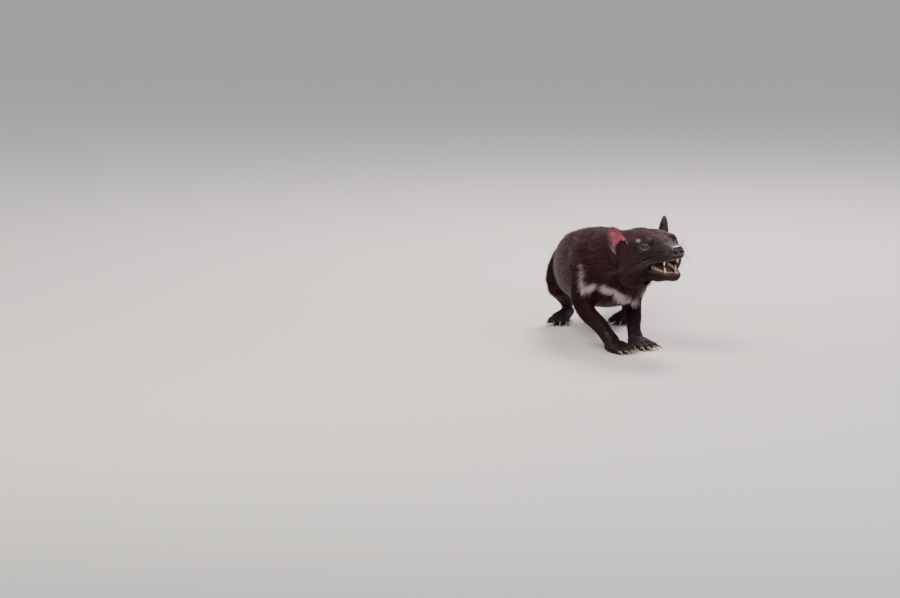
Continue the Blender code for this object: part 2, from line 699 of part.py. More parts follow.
def cutters(name, meshes):
    """A hidden collection of cutters."""
    collection = bpy.data.collections.new(name)
    bpy.context.scene.collection.children.link(collection)
    for k, mesh in enumerate(meshes):
        obj = make_object(f"{name}_{k}", mesh)
        bpy.context.scene.collection.objects.unlink(obj)
        collection.objects.link(obj)
        obj.hide_render = True
        obj.display_type = "WIRE"
    return collection


def drop(collection):
    for obj in list(collection.objects):
        bpy.data.objects.remove(obj, do_unlink=True)
    bpy.data.collections.remove(collection)


def weight_group(obj, name, weights):
    group = obj.vertex_groups.new(name=name)
    steps = np.round(weights, 1)
    for value in np.unique(steps):
        group.add(np.nonzero(steps == value)[0].tolist(), float(value), "REPLACE")
    return group


def vertex_array(obj):
    points = np.zeros(len(obj.data.vertices) * 3)
    obj.data.vertices.foreach_get("co", points)
    return points.reshape(-1, 3)


def fine_share(points):
    """How fine the surface has to stay: 1 on the head and the feet, 0 on the trunk."""
    inverse = np.array(HEAD.inverted())
    in_head = points @ inverse[:3, :3].T + inverse[:3, 3]
    head = np.clip((in_head[:, 0] - 0.02) / 0.05, 0, 1)
    feet = np.clip((0.040 - points[:, 2]) / 0.015, 0, 1)
    return np.maximum(head, feet)


def remesh(obj, size):
    modifier = obj.modifiers.new("fuse", "REMESH")
    modifier.mode = "VOXEL"
    modifier.voxel_size = size
    modifier.adaptivity = 0.0
    settle(obj)


def smooth(obj, factor, repeat, group=None):
    modifier = obj.modifiers.new("smooth", "SMOOTH")
    modifier.factor = factor
    modifier.iterations = repeat
    if group:
        modifier.vertex_group = group
    settle(obj)


def fused_flesh():
    """The whole animal's flesh as one smooth closed mesh of about FLESH_TRIANGLES."""
    flesh = make_object("flesh", joined([body_forms(), neck_forms(), head_forms()]))
    remesh(flesh, VOXEL)
    hollows = [
        moved(tube_mesh(level(PALATE_HOLLOW), 20, power=2.6), HEAD),
        moved(tube_mesh(level(FLOOR_HOLLOW), 20, power=2.6), JAW_FRAME),
    ]
    mouth = make_object("mouth", joined(hollows))
    remesh(mouth, MOUTH_VOXEL)
    boolean(flesh, mouth, "DIFFERENCE", "MANIFOLD")
    bpy.data.objects.remove(mouth, do_unlink=True)
    gums = make_object("gums", gum_forms())
    remesh(gums, MOUTH_VOXEL)
    boolean(flesh, gums, "UNION", "MANIFOLD")
    bpy.data.objects.remove(gums, do_unlink=True)
    remesh(flesh, VOXEL)
    points = vertex_array(flesh)
    weight_group(flesh, "broad", 1 - fine_share(points))
    smooth(flesh, 0.5, BROAD_ROUNDS, "broad")
    smooth(flesh, 0.5, ALL_ROUNDS)
    weight_group(flesh, "coarse", 1 - COARSE_SHARE * fine_share(vertex_array(flesh)))
    # Thinning weighs lengths well only when they aren't tiny, so it works in millimetres
    flesh.data.transform(Matrix.Scale(1000, 4))
    thin = flesh.modifiers.new("thin", "DECIMATE")
    thin.ratio = FLESH_TRIANGLES / (2 * len(flesh.data.polygons))
    thin.vertex_group = "coarse"
    thin.vertex_group_factor = COARSE_PULL
    settle(flesh)
    flesh.data.transform(Matrix.Scale(0.001, 4))
    return flesh


def box_mesh(frame, size):
    bm = bmesh.new()
    bmesh.ops.create_cube(bm, size=1)
    bm.transform(frame @ Matrix.Diagonal((*size, 1)))
    bm.verts.index_update()
    points = np.array([v.co[:] for v in bm.verts])
    faces = [tuple(v.index for v in f.verts) for f in bm.faces]
    bm.free()
    return points, faces


def slab(frame, size):
    """A cut GAP thick across the frame's X axis."""
    return box_mesh(frame, (GAP, *size))


def plane_frame(base, at, normal, tilt_axis):
    """The base frame's point `at`, with X along `normal` and Y near `tilt_axis`."""
    x = Vector(normal).normalized()
    z = x.cross(Vector(tilt_axis)).normalized()
    y = z.cross(x)
    turn = Matrix((x, y, z)).transposed().to_4x4()
    return base @ Matrix.Translation(at) @ turn


def limb_frame(at, foot):
    """The frame of a point on a limb, after the limb's shift."""
    row = limb([(*at, 0, 0, 0)], foot[2], foot[1])[0]
    return posed_frame(*row[:3])


# Cuts in the head's frame: point, normal, size across and up
HEAD_CUTS = (
    ((0.004, 0, -0.0075), (0.957, 0, 0.29), (0.15, 0.125)),
    ((0.0470, 0, -0.0300), (0.068, 0, -1), (0.15, 0.092)),
)
# Cuts across the straight trunk: distance ahead of the breast, height, normal, size
TRUNK_CUTS = (
    (-0.023, 0.157, (0.83, 0, 0.56), (0.17, 0.195)),
    (-0.190, 0.130, (1, 0, 0), (0.20, 0.20)),
    (-0.255, 0.126, (1, 0, 0), (0.19, 0.19)),
    (-0.438, 0.126, (1, 0, 0), (0.08, 0.08)),
)
# Cuts of the left limbs: index of the foot in FEET, point, normal, which way Y lies, size
LIMB_CUTS = (
    (0, (-0.062, 0.054, 0.0720), (0, 0.52, -0.85), (1, 0, 0), (0.115, 0.086)),  # armpit
    (2, (-0.322, 0.057, 0.0830), (0, 0.58, -0.81), (1, 0, 0), (0.135, 0.094)),  # groin
    (0, (-0.024, 0.0375, 0.030), (0.62, 0, -0.78), (0, 1, 0), (0.046, 0.046)),  # wrist
    (2, (-0.364, 0.053, 0.036), (-0.62, 0, -0.78), (0, 1, 0), (0.050, 0.050)),  # ankle
)


def part_cuts():
    """The thin cuts that part the flesh into nodes."""
    cuts = [slab(plane_frame(HEAD, at, normal, (0, 1, 0)), size) for at, normal, size in HEAD_CUTS]
    for ahead, height, normal, size in TRUNK_CUTS:
        base = posed_frame(ahead, 0, height)
        cuts.append(slab(plane_frame(base, (0, 0, 0), normal, (0, 1, 0)), size))
    for side, pair in ((-1, 0), (1, 1)):
        for foot, at, normal, lie, size in LIMB_CUTS:
            base = limb_frame(at, FEET[foot + pair])
            cuts.append(slab(plane_frame(base, (0, 0, 0), on_side(normal, side), lie), size))
    return cuts


# Where each flesh node lies: in the head's frame, and in the straight animal's axes
HEAD_SEEDS = {"head": (0.050, 0.0, 0.010), "lower_jaw": (0.085, 0.0, -0.050)}
BODY_SEEDS = {
    "neck": (-0.020, 0.0, 0.165),
    "chest": (-0.110, 0.0, 0.135),
    "belly": (-0.222, 0.0, 0.130),
    "rump": (-0.345, 0.0, 0.122),
    "tail": (-0.555, 0.0, 0.112),
    "foreleg_right": (-0.050, -0.050, 0.055),
    "foreleg_left": (-0.058, 0.050, 0.055),
    "forefoot_right": (0.004, -0.036, 0.012),
    "forefoot_left": (-0.006, 0.022, 0.012),
    "hindleg_right": (-0.322, -0.062, 0.065),
    "hindleg_left": (-0.340, 0.062, 0.065),
    "hindfoot_right": (-0.335, -0.052, 0.012),
    "hindfoot_left": (-0.363, 0.052, 0.012),
}


def seeds():
    found = {name: HEAD @ Vector(at) for name, at in HEAD_SEEDS.items()}
    found |= {name: Vector(posed([at])[0]) for name, at in BODY_SEEDS.items()}
    return found


def loose_parts(obj):
    """The closed surfaces of a mesh, as (volume, centre, bmesh)."""
    whole = bmesh.new()
    whole.from_mesh(obj.data)
    whole.verts.ensure_lookup_table()
    seen, groups = set(), []
    for start in whole.verts:
        if start.index in seen:
            continue
        stack, group = [start], []
        seen.add(start.index)
        while stack:
            v = stack.pop()
            group.append(v.index)
            for e in v.link_edges:
                w = e.other_vert(v)
                if w.index not in seen:
                    seen.add(w.index)
                    stack.append(w)
        groups.append(set(group))
    parts = []
    for group in groups:
        piece = whole.copy()
        doomed = [v for v in piece.verts if v.index not in group]
        bmesh.ops.delete(piece, geom=doomed, context="VERTS")
        volume = piece.calc_volume(signed=True)
        points = np.array([v.co[:] for v in piece.verts])
        parts.append((volume, Vector((points.min(0) + points.max(0)) / 2), piece))
    whole.free()
    return parts


def part_flesh(flesh):
    """Names each large loose part after the nearest seed, and drops the scraps."""
    named = {}
    for volume, centre, piece in sorted(loose_parts(flesh), key=lambda p: -p[0]):
        free = {name: at for name, at in seeds().items() if name not in named}
        name = min(free, key=lambda n: (free[n] - centre).length) if free else None
        if name is None or volume < SCRAP_VOLUME:
            piece.free()
            continue
        data = bpy.data.meshes.new(name)
        bmesh.ops.triangulate(piece, faces=piece.faces)
        piece.to_mesh(data)
        piece.free()
        named[name] = bpy.data.objects.new(name, data)
        bpy.context.scene.collection.objects.link(named[name])
    bpy.data.objects.remove(flesh, do_unlink=True)
    return named


def material(name, colour, roughness, metallic=0.0):
    made = bpy.data.materials.new(name)
    made.use_nodes = True
    shader = made.node_tree.nodes["Principled BSDF"]
    shader.inputs["Base Color"].default_value = (*colour, 1)
    shader.inputs["Roughness"].default_value = roughness
    shader.inputs["Metallic"].default_value = metallic
    return made


def set_pieces():
    """The pieces that sit in sockets of the flesh: name, mesh and the mesh that clears it."""
    pieces = {}
    for side, word in ((-1, "right"), (1, "left")):
        eye = ball_mesh((0, 0, 0), (EYE_RADIUS,) * 3, steps=(12, 7))
        wide = ball_mesh((0, 0, 0), (EYE_RADIUS + GAP,) * 3, steps=(12, 7))
        at = HEAD @ Matrix.Translation(on_side(EYE_AT, side))
        pieces[f"eye_{word}"] = (moved(eye, at), moved(wide, at))
        pieces[f"ear_{word}"] = (ear_mesh(side), None)
    pieces["nose"] = (nose_mesh(), None)
    pieces["tongue"] = (tongue_mesh(), None)
    for foot in FEET:
        for k, toe in enumerate(toes(foot)):
            rows = claw_rows(*toe)
            claw = bent(tube_mesh(rows, 6, sides=6, power=2.0))
            wide = bent(tube_mesh(rows, 6, sides=6, power=2.0, grow=GAP * 1.3))
            pieces[f"{foot[0]}_claw_{k + 1}"] = (claw, wide)
    return pieces


def socket_mesh(mesh):
    """The same mesh pushed out by a little over GAP, for the socket that it sits in."""
    obj = make_object("socket", mesh)
    push = obj.modifiers.new("push", "DISPLACE")
    push.mid_level = 0
    push.strength = GAP * 1.6
    settle(obj)
    points = vertex_array(obj)
    faces = [tuple(p.vertices) for p in obj.data.polygons]
    bpy.data.objects.remove(obj, do_unlink=True)
    return points, faces


def eye_openings():
    """The gap between the lids of each eye: a long lens in front of the eyeball."""
    meshes = []
    for side in (-1, 1):
        look = Vector(on_side(EYE_LOOK, side)).normalized()
        along = Vector(on_side(EYE_SLIT, side))
        along = (along - along.dot(look) * look).normalized()
        up = look.cross(along) * (1 if side > 0 else -1)
        turn = Matrix((look, along, up)).transposed().to_4x4()
        centre = Vector(on_side(EYE_AT, side)) + look * EYE_RADIUS
        meshes.append(moved(ball_mesh(centre, EYE_OPENING, turn), HEAD))
    return meshes


def floor_block():
    """What lies under the floor: it cuts the soles flat."""
    return box_mesh(Matrix.Translation(FLOOR_BLOCK[0]), FLOOR_BLOCK[1])


def add_teeth(nodes):
    """Fuses the teeth into the jaws that carry them, and keeps the other jaw clear of them."""
    upper = teeth_meshes(UPPER_ARCH, UPPER_GUM[0], UPPER_TEETH, False)
    lower = teeth_meshes(LOWER_ARCH, LOWER_GUM[0], LOWER_TEETH, True)
    upper = [moved(tooth, HEAD) for tooth in upper]
    lower = [moved(tooth, JAW_FRAME) for tooth in lower]
    for node, own, other in (("head", upper, lower), ("lower_jaw", lower, upper)):
        room = cutters("room", [socket_mesh(tooth) for tooth in other])
        boolean(nodes[node], room, "DIFFERENCE")
        drop(room)
        fuse_in(nodes[node], own, "teeth")


def lock_mesh(root, back, out, length, width):
    """One flat tapered lock that leaves the surface, bends back along it and ends in a point."""
    side = back.cross(out).normalized()
    points = []
    for share, wide in LOCK_SECTIONS:
        rise = LOCK_RISE * share * (2 - share) - LOCK_ROOT * (1 - share) ** 2
        middle = root + back * (length * share) + out * rise
        across = side * (width * wide / 2)
        thick = out * (LOCK_THICKNESS * (1 - 0.6 * share) / 2)
        points += [middle + across, middle + thick, middle - across, middle - thick]
    points.append(root + back * length + out * (LOCK_RISE * 0.92))
    faces = [(0, 1, 2), (0, 2, 3)]
    for k in (0, 4):
        for j in range(4):
            n = (j + 1) % 4
            faces += [(k + j, k + n, k + 4 + n), (k + j, k + 4 + n, k + 4 + j)]
    faces += [(8 + j, 8 + (j + 1) % 4, 12) for j in range(4)]
    return np.array([p[:] for p in points]), faces


def tail_locks():
    """The locks of the tail, bent with it."""
    draw = random.Random(LOCK_SEED)
    stations = np.array(level(TAIL))[::-1]
    meshes = []
    for row in range(LOCK_ROWS):
        share = row / (LOCK_ROWS - 1)
        ahead = LOCK_REACH[0] + (LOCK_REACH[1] - LOCK_REACH[0]) * share
        height, wide, tall = (np.interp(ahead, stations[:, 0], stations[:, k]) for k in (2, 3, 4))
        drop_rate = np.interp(ahead, stations[:, 0], np.gradient(stations[:, 2], stations[:, 0]))
        back = Vector((-1.0, 0.0, -float(drop_rate))).normalized()
        count = round(LOCKS_IN_ROW[0] + (LOCKS_IN_ROW[1] - LOCKS_IN_ROW[0]) * share)
        for k in range(count):
            angle = 2 * math.pi * (k + 0.5 * (row % 2) + draw.uniform(-0.12, 0.12)) / count
            out = Vector((0.0, math.cos(angle), math.sin(angle)))
            root = Vector((ahead + draw.uniform(-0.004, 0.004), wide * out.y, height + tall * out.z))
            length = LOCK_LENGTH[0] + (LOCK_LENGTH[1] - LOCK_LENGTH[0]) * share
            width = LOCK_WIDTH[0] + (LOCK_WIDTH[1] - LOCK_WIDTH[0]) * share
            scale = draw.uniform(0.85, 1.15)
            meshes.append(bent(lock_mesh(root, back, out, length * scale, width)))
    return meshes


def fuse_in(node, meshes, name):
    """Joins the meshes to a node and keeps it one closed body."""
    collection = cutters(name, meshes)
    boolean(node, collection, "UNION")
    drop(collection)
    keep_largest(node)


def keep_largest(obj):
    """A node stays one closed body: its largest surface."""
    parts = sorted(loose_parts(obj), key=lambda p: p[0])
    for _, _, piece in parts[:-1]:
        piece.free()
    largest = parts[-1][2]
    bmesh.ops.triangulate(largest, faces=largest.faces)
    largest.to_mesh(obj.data)
    largest.free()


def finish(nodes):
    """Gives each node its material, and puts the origin on the floor under the box's middle."""
    finishes = {
        "ear": material("ear_skin", EAR_SKIN, 0.7),
        "eye": material("eye", EYE_BLACK, 0.08),
        "nose": material("nose_skin", NOSE_BLACK, 0.35),
        "tongue": material("tongue", TONGUE_PINK, 0.4),
        "claw": material("claw_horn", CLAW_HORN, 0.45),
        "fur": material("fur", FUR_BLACK, 0.75),
    }
    corners = np.array(
        [f(vertex_array(o), axis=0) for o in nodes.values() for f in (np.min, np.max)]
    )
    middle = (corners.min(0) + corners.max(0)) / 2
    shift = Matrix.Translation((-middle[0], -middle[1], 0.0))
    for name, obj in nodes.items():
        kind = next((k for k in finishes if k in name.replace("forefoot", "")), "fur")
        if "claw" in name:
            kind = "claw"
        obj.data.materials.clear()
        obj.data.materials.append(finishes[kind])
        obj.data.transform(shift)
        obj.data.shade_smooth()
        obj.data.set_sharp_from_angle(angle=math.radians(40))
    print("origin shift", tuple(shift.translation))


def main():
    clear_scene()
    flesh = fused_flesh()
    nodes = {}
    sockets = []
    for name, (mesh, wide) in set_pieces().items():
        nodes[name] = make_object(name, mesh)
        sockets.append(wide if wide is not None else socket_mesh(mesh))
    cuts = cutters("cuts", sockets + eye_openings() + part_cuts() + [floor_block()])
    boolean(flesh, cuts, "DIFFERENCE")
    drop(cuts)
    nodes |= part_flesh(flesh)
    add_teeth(nodes)
    fuse_in(nodes["tail"], tail_locks(), "locks")
    nostrils = cutters("nostrils", nostril_meshes())
    boolean(nodes["nose"], nostrils, "DIFFERENCE")
    drop(nostrils)
    finish(nodes)


main()
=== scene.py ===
# The Tasmanian devil's skin, coat and small pieces, in the frame of its solids.

import math
import random

import bmesh
import bpy
import numpy as np
from mathutils import Matrix, Vector
from mathutils.bvhtree import BVHTree


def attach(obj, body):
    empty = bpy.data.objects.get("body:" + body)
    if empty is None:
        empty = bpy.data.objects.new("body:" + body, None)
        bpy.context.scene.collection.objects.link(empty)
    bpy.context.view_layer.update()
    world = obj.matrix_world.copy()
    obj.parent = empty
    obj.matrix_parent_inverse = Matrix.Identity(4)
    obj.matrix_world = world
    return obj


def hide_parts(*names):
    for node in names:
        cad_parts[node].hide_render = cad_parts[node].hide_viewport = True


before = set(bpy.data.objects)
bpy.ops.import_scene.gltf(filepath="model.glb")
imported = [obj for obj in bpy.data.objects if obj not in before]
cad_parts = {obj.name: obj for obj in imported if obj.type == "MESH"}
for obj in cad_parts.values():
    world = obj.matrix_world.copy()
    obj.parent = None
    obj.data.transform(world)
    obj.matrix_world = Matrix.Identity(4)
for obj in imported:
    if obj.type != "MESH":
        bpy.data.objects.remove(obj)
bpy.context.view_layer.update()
scene = bpy.context.scene


# measures shared with the solids

pose = {
    "shift": (0.0967874, -0.1395059, 0.0),  # from the pose tables' origin to the frame's
    "trunk": 0.436,
    "tail": 0.235,
    "breast": (0.130, 0.0065),
    "headings": (-30.0, -62.0, 8.0),  # tail, rump, breast, in degrees
    "headJoint": (0.1255, 0.0083, 0.1720),
    "headTurn": (4.5, -6.0, 6.0),  # about z, y and x, in degrees
    "jawPivot": (0.030, 0.0, -0.012),
    "jawOpen": 18.0,
}

# ahead, height, half width, half height up and down
tables = {
    "skull": (
        (-0.034, -0.003, 0.040, 0.032, 0.038),
        (-0.005, 0.000, 0.051, 0.0365, 0.042),
        (0.028, 0.002, 0.0540, 0.0375, 0.040),
        (0.052, 0.003, 0.0510, 0.0350, 0.032),
        (0.071, 0.002, 0.0415, 0.0300, 0.0225),
        (0.0867, 0.001, 0.0315, 0.0235, 0.0170),
        (0.1015, -0.001, 0.0250, 0.0175, 0.0140),
        (0.1154, -0.002, 0.0210, 0.0138, 0.0120),
        (0.1242, -0.003, 0.0160, 0.0112, 0.0090),
        (0.1285, -0.004, 0.0080, 0.0060, 0.0050),
    ),
    "jaw": (
        (-0.010, -0.023, 0.034, 0.016, 0.017),
        (0.030, -0.016, 0.0330, 0.0135, 0.0135),
        (0.0545, -0.010, 0.0265, 0.0092, 0.0110),
        (0.0725, -0.007, 0.0195, 0.0073, 0.0090),
        (0.086, -0.005, 0.0140, 0.0063, 0.0075),
        (0.0923, -0.005, 0.0070, 0.0040, 0.0050),
    ),
    "palate": (
        (0.052, -0.020, 0.020, 0.006, 0.010),
        (0.073, -0.019, 0.0250, 0.010, 0.012),
        (0.0911, -0.016, 0.0205, 0.0090, 0.012),
        (0.1067, -0.013, 0.0160, 0.0068, 0.010),
        (0.1194, -0.012, 0.0105, 0.0048, 0.008),
    ),
    "mouthFloor": (
        (0.022, -0.004, 0.020, 0.008, 0.007),
        (0.045, -0.002, 0.0215, 0.010, 0.0078),
        (0.0626, -0.001, 0.0165, 0.010, 0.0066),
        (0.0752, 0.000, 0.0116, 0.010, 0.0056),
        (0.0833, 0.001, 0.0068, 0.008, 0.0045),
    ),
    "tail": (
        (-0.400, 0.124, 0.026, 0.027, 0.027),
        (-0.440, 0.126, 0.0175, 0.0185, 0.0185),
        (-0.500, 0.122, 0.0120, 0.0125, 0.0125),
        (-0.560, 0.112, 0.0088, 0.0090, 0.0090),
        (-0.620, 0.102, 0.0062, 0.0064, 0.0064),
        (-0.655, 0.099, 0.0040, 0.0042, 0.0042),
        (-0.668, 0.099, 0.0018, 0.0020, 0.0020),
    ),
    # ahead, half width, height and thickness, from the cheek to the middle of the front
    "upperLip": (
        (0.066, 0.0335, -0.0185, 0.0040),
        (0.078, 0.0295, -0.0162, 0.0040),
        (0.0911, 0.0250, -0.0142, 0.0038),
        (0.1041, 0.0205, -0.0132, 0.0036),
        (0.1154, 0.0165, -0.0125, 0.0034),
        (0.1233, 0.0112, -0.0115, 0.0032),
        (0.1266, 0.0058, -0.0112, 0.0030),
        (0.1275, 0.0, -0.0112, 0.0029),
    ),
    "lowerLip": (
        (0.030, 0.0295, -0.0060, 0.0038),
        (0.045, 0.0262, -0.0042, 0.0036),
        (0.059, 0.0220, -0.0032, 0.0033),
        (0.0725, 0.0168, -0.0026, 0.0031),
        (0.0837, 0.0116, -0.0022, 0.0029),
        (0.0892, 0.0062, -0.0022, 0.0028),
        (0.0905, 0.0, -0.0022, 0.0027),
    ),
    "upperArch": (
        (0.072, 0.0190),
        (0.0876, 0.0178),
        (0.1024, 0.0150),
        (0.1128, 0.0120),
        (0.1194, 0.0065),
        (0.1208, 0.0),
    ),
    "lowerArch": (
        (0.044, 0.0170),
        (0.0581, 0.0150),
        (0.0689, 0.0124),
        (0.0779, 0.0092),
        (0.0828, 0.0045),
        (0.0840, 0.0),
    ),
}

# centre and radii of the forms over the skull, left side
headPads = (
    ((0.046, 0.034, -0.016), (0.036, 0.022, 0.031)),  # cheek muscle
    ((0.030, 0.028, -0.036), (0.034, 0.020, 0.024)),  # throat, under the cheek
    ((0.076, 0.0240, 0.0195), (0.017, 0.0105, 0.0068)),  # brow
    ((0.070, 0.0330, 0.0000), (0.016, 0.0095, 0.0120)),  # cheekbone
    ((0.1094, 0.0140, -0.0045), (0.017, 0.0100, 0.0100)),  # whisker bed
    ((0.012, 0.012, 0.0330), (0.032, 0.016, 0.0080)),  # jaw muscle on the crown
)

eyeShape = {
    "at": (0.0810, 0.0288, 0.0112),
    "radius": 0.0078,
    "look": (0.58, 0.79, 0.20),
    "slit": (-0.80, 0.58, 0.16),
    "half": (0.0064, 0.0039),  # opening, along and across the slit
}

earShape = {
    "at": (0.0400, 0.0465, -0.003),
    "rise": (-0.20, 0.20, 0.95),
    "outward": (0.36, 0.93, 0.0),
    "height": 0.056,
    "halfWidth": 0.0195,
    "cup": 0.0165,
    "sink": 0.014,  # how deep the foot goes into the head
    "thickness": 0.0016,
    "grid": (34, 44),
}


def turnOf(degrees, axis):
    return Matrix.Rotation(math.radians(degrees), 4, axis)


headFrame = (
    Matrix.Translation(Vector(pose["shift"]) + Vector(pose["headJoint"]))
    @ turnOf(pose["headTurn"][0], "Z")
    @ turnOf(pose["headTurn"][1], "Y")
    @ turnOf(pose["headTurn"][2], "X")
)
jawFrame = headFrame @ Matrix.Translation(pose["jawPivot"]) @ turnOf(pose["jawOpen"], "Y")


def spineTable():
    # distance ahead of the breast, place and heading along the spine, seen from above
    step = 0.002
    ahead = np.arange(-pose["trunk"] - pose["tail"] - 0.05, 0.10, step)
    bends = (-pose["trunk"] - 0.10, -pose["trunk"], 0.0)
    heading = np.radians(np.interp(ahead, bends, pose["headings"]))
    x = np.cumsum(np.cos(heading)) * step
    y = np.cumsum(np.sin(heading)) * step
    x += pose["breast"][0] + pose["shift"][0] - np.interp(0, ahead, x)
    y += pose["breast"][1] + pose["shift"][1] - np.interp(0, ahead, y)
    return ahead, x, y, heading


spine = spineTable()


def posed(points):
    ahead, x, y, heading = spine
    points = np.asarray(points, float)
    turn = np.interp(points[:, 0], ahead, heading)
    px = np.interp(points[:, 0], ahead, x) - np.sin(turn) * points[:, 1]
    py = np.interp(points[:, 0], ahead, y) + np.cos(turn) * points[:, 1]
    return np.stack([px, py, points[:, 2]], axis=1)


def straightened(points):
    # the inverse of posed: distance ahead of the breast, to the left, and height
    ahead, x, y, heading = spine
    out = np.empty((len(points), 3))
    for start in range(0, len(points), 20000):
        block = points[start : start + 20000]
        gap = (block[:, 0, None] - x[None]) ** 2 + (block[:, 1, None] - y[None]) ** 2
        k = gap.argmin(axis=1)
        dx, dy = block[:, 0] - x[k], block[:, 1] - y[k]
        out[start : start + 20000, 0] = ahead[k] + dx * np.cos(heading[k]) + dy * np.sin(heading[k])
        out[start : start + 20000, 1] = -dx * np.sin(heading[k]) + dy * np.cos(heading[k])
        out[start : start + 20000, 2] = block[:, 2]
    return out


# small mesh helpers


def through(rows, count):
    # rows read along a smooth curve through the given rows
    rows = np.asarray(rows, float)
    chord = np.linalg.norm(np.diff(rows[:, :3], axis=0), axis=1)
    knots = np.concatenate([[0], np.cumsum(chord)])
    slopes = np.gradient(rows, knots, axis=0)
    out = []
    for t in np.linspace(0, knots[-1], count):
        i = min(int(np.searchsorted(knots, t, side="right")) - 1, len(rows) - 2)
        width = knots[i + 1] - knots[i]
        f = (t - knots[i]) / width
        a = (1 + 2 * f) * (1 - f) ** 2 * rows[i] + f * (1 - f) ** 2 * width * slopes[i]
        b = f * f * (3 - 2 * f) * rows[i + 1] + f * f * (f - 1) * width * slopes[i + 1]
        out.append(a + b)
    return np.array(out)


def tube(rows, count, sides=24, power=2.3, across=(0, 1, 0)):
    # a closed tube through rows of x, y, z, half width, half height up, half height down
    rows = through(rows, count)
    centres = rows[:, :3]
    forward = np.gradient(centres, axis=0)
    forward /= np.linalg.norm(forward, axis=1)[:, None]
    side = np.asarray(across, float) - (forward @ np.asarray(across, float))[:, None] * forward
    side /= np.linalg.norm(side, axis=1)[:, None]
    up = np.cross(forward, side)
    angle = 2 * math.pi * np.arange(sides) / sides
    c = np.sign(np.cos(angle)) * np.abs(np.cos(angle)) ** (2 / power)
    s = np.sign(np.sin(angle)) * np.abs(np.sin(angle)) ** (2 / power)
    height = np.where(s[None] > 0, rows[:, 4, None], rows[:, 5, None])
    points = (
        centres[:, None]
        + side[:, None] * (c[None] * rows[:, 3, None])[..., None]
        + up[:, None] * (s[None] * height)[..., None]
    ).reshape(-1, 3)
    faces = []
    for k in range(count - 1):
        for j in range(sides):
            n = (j + 1) % sides
            faces.append((k * sides + j, k * sides + n, (k + 1) * sides + n, (k + 1) * sides + j))
    faces.append(tuple(range(sides))[::-1])
    faces.append(tuple(range((count - 1) * sides, count * sides)))
    return points, faces


def ball(centre, radii, turn=None, steps=(24, 16)):
    bm = bmesh.new()
    bmesh.ops.create_uvsphere(bm, u_segments=steps[0], v_segments=steps[1], radius=1)
    bm.transform(Matrix.Translation(centre) @ (turn or Matrix.Identity(4)) @ Matrix.Diagonal((*radii, 1)))
    points = np.array([v.co[:] for v in bm.verts])
    faces = [tuple(v.index for v in f.verts) for f in bm.faces]
    bm.free()
    return points, faces


def moved(mesh, matrix):
    m = np.array(matrix)
    return mesh[0] @ m[:3, :3].T + m[:3, 3], mesh[1]


def mirrored(mesh):
    return mesh[0] * (1, -1, 1), [face[::-1] for face in mesh[1]]


def joined(meshes):
    points, faces, start = [], [], 0
    for p, f in meshes:
        points.append(p)
        faces += [tuple(i + start for i in face) for face in f]
        start += len(p)
    return np.concatenate(points), faces


def ridge(half, count=60, sides=12):
    # a round ridge along a path given for the left side, from its back end to the middle line
    left = [(x, y, z, r, r, r) for x, y, z, r in half]
    right = [(x, -y, z, r, r, r) for x, y, z, r in half if y > 0]
    return tube(right + left[::-1], count, sides=sides, power=2.0, across=(0, 0, 1))


def level(rows):
    return [(r[0], 0.0, *r[1:]) for r in rows]


def makeObject(name, mesh):
    data = bpy.data.meshes.new(name)
    data.from_pydata([tuple(p) for p in mesh[0]], [], mesh[1])
    bm = bmesh.new()
    bm.from_mesh(data)
    bmesh.ops.recalc_face_normals(bm, faces=bm.faces)
    bm.to_mesh(data)
    bm.free()
    obj = bpy.data.objects.new(name, data)
    scene.collection.objects.link(obj)
    return obj


def settle(obj):
    graph = bpy.context.evaluated_depsgraph_get()
    data = bpy.data.meshes.new_from_object(obj.evaluated_get(graph))
    obj.modifiers.clear()
    old = obj.data
    obj.data = data
    data.name = obj.name
    bpy.data.meshes.remove(old)


def modify(obj, kind, **settings):
    modifier = obj.modifiers.new(kind.lower(), kind)
    for key, value in settings.items():
        setattr(modifier, key, value)
    settle(obj)


def remove(obj):
    bpy.data.objects.remove(obj, do_unlink=True)


def vertexArray(obj, field="co"):
    out = np.zeros(len(obj.data.vertices) * 3)
    obj.data.vertices.foreach_get(field, out)
    return out.reshape(-1, 3)


def setVertices(obj, points):
    obj.data.vertices.foreach_set("co", points.ravel())
    obj.data.update()


def onFloor(obj):
    # nothing of the piece reaches under the floor
    points = vertexArray(obj)
    points[:, 2] = np.maximum(points[:, 2], 0.0)
    setVertices(obj, points)


def inFrame(points, matrix):
    m = np.array(matrix.inverted())
    return points @ m[:3, :3].T + m[:3, 3]


def ramp(values, low, high):
    # 0 at low, 1 at high, smooth in between; low may be the larger one
    t = np.clip((values - low) / (high - low), 0, 1)
    return t * t * (3 - 2 * t)


def unit(vectors):
    return vectors / np.maximum(np.linalg.norm(vectors, axis=1), 1e-9)[:, None]


def store(obj, name, values, kind="FLOAT", domain="POINT"):
    attribute = obj.data.attributes.new(name, kind, domain)
    field = "vector" if kind == "FLOAT_VECTOR" else "value"
    attribute.data.foreach_set(field, np.ascontiguousarray(values, dtype=np.float32).ravel())


def nodeMesh(name):
    # the solid's points and faces, with its loose triangles joined
    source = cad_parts[name]
    bm = bmesh.new()
    bm.from_mesh(source.data)
    bm.transform(source.matrix_world)
    bmesh.ops.remove_doubles(bm, verts=bm.verts, dist=1e-5)
    bmesh.ops.recalc_face_normals(bm, faces=bm.faces)
    bm.normal_update()
    bm.verts.index_update()
    points = np.array([v.co[:] for v in bm.verts])
    normals = np.array([v.normal[:] for v in bm.verts])
    faces = [tuple(v.index for v in f.verts) for f in bm.faces]
    bm.free()
    return points, normals, faces


# skin

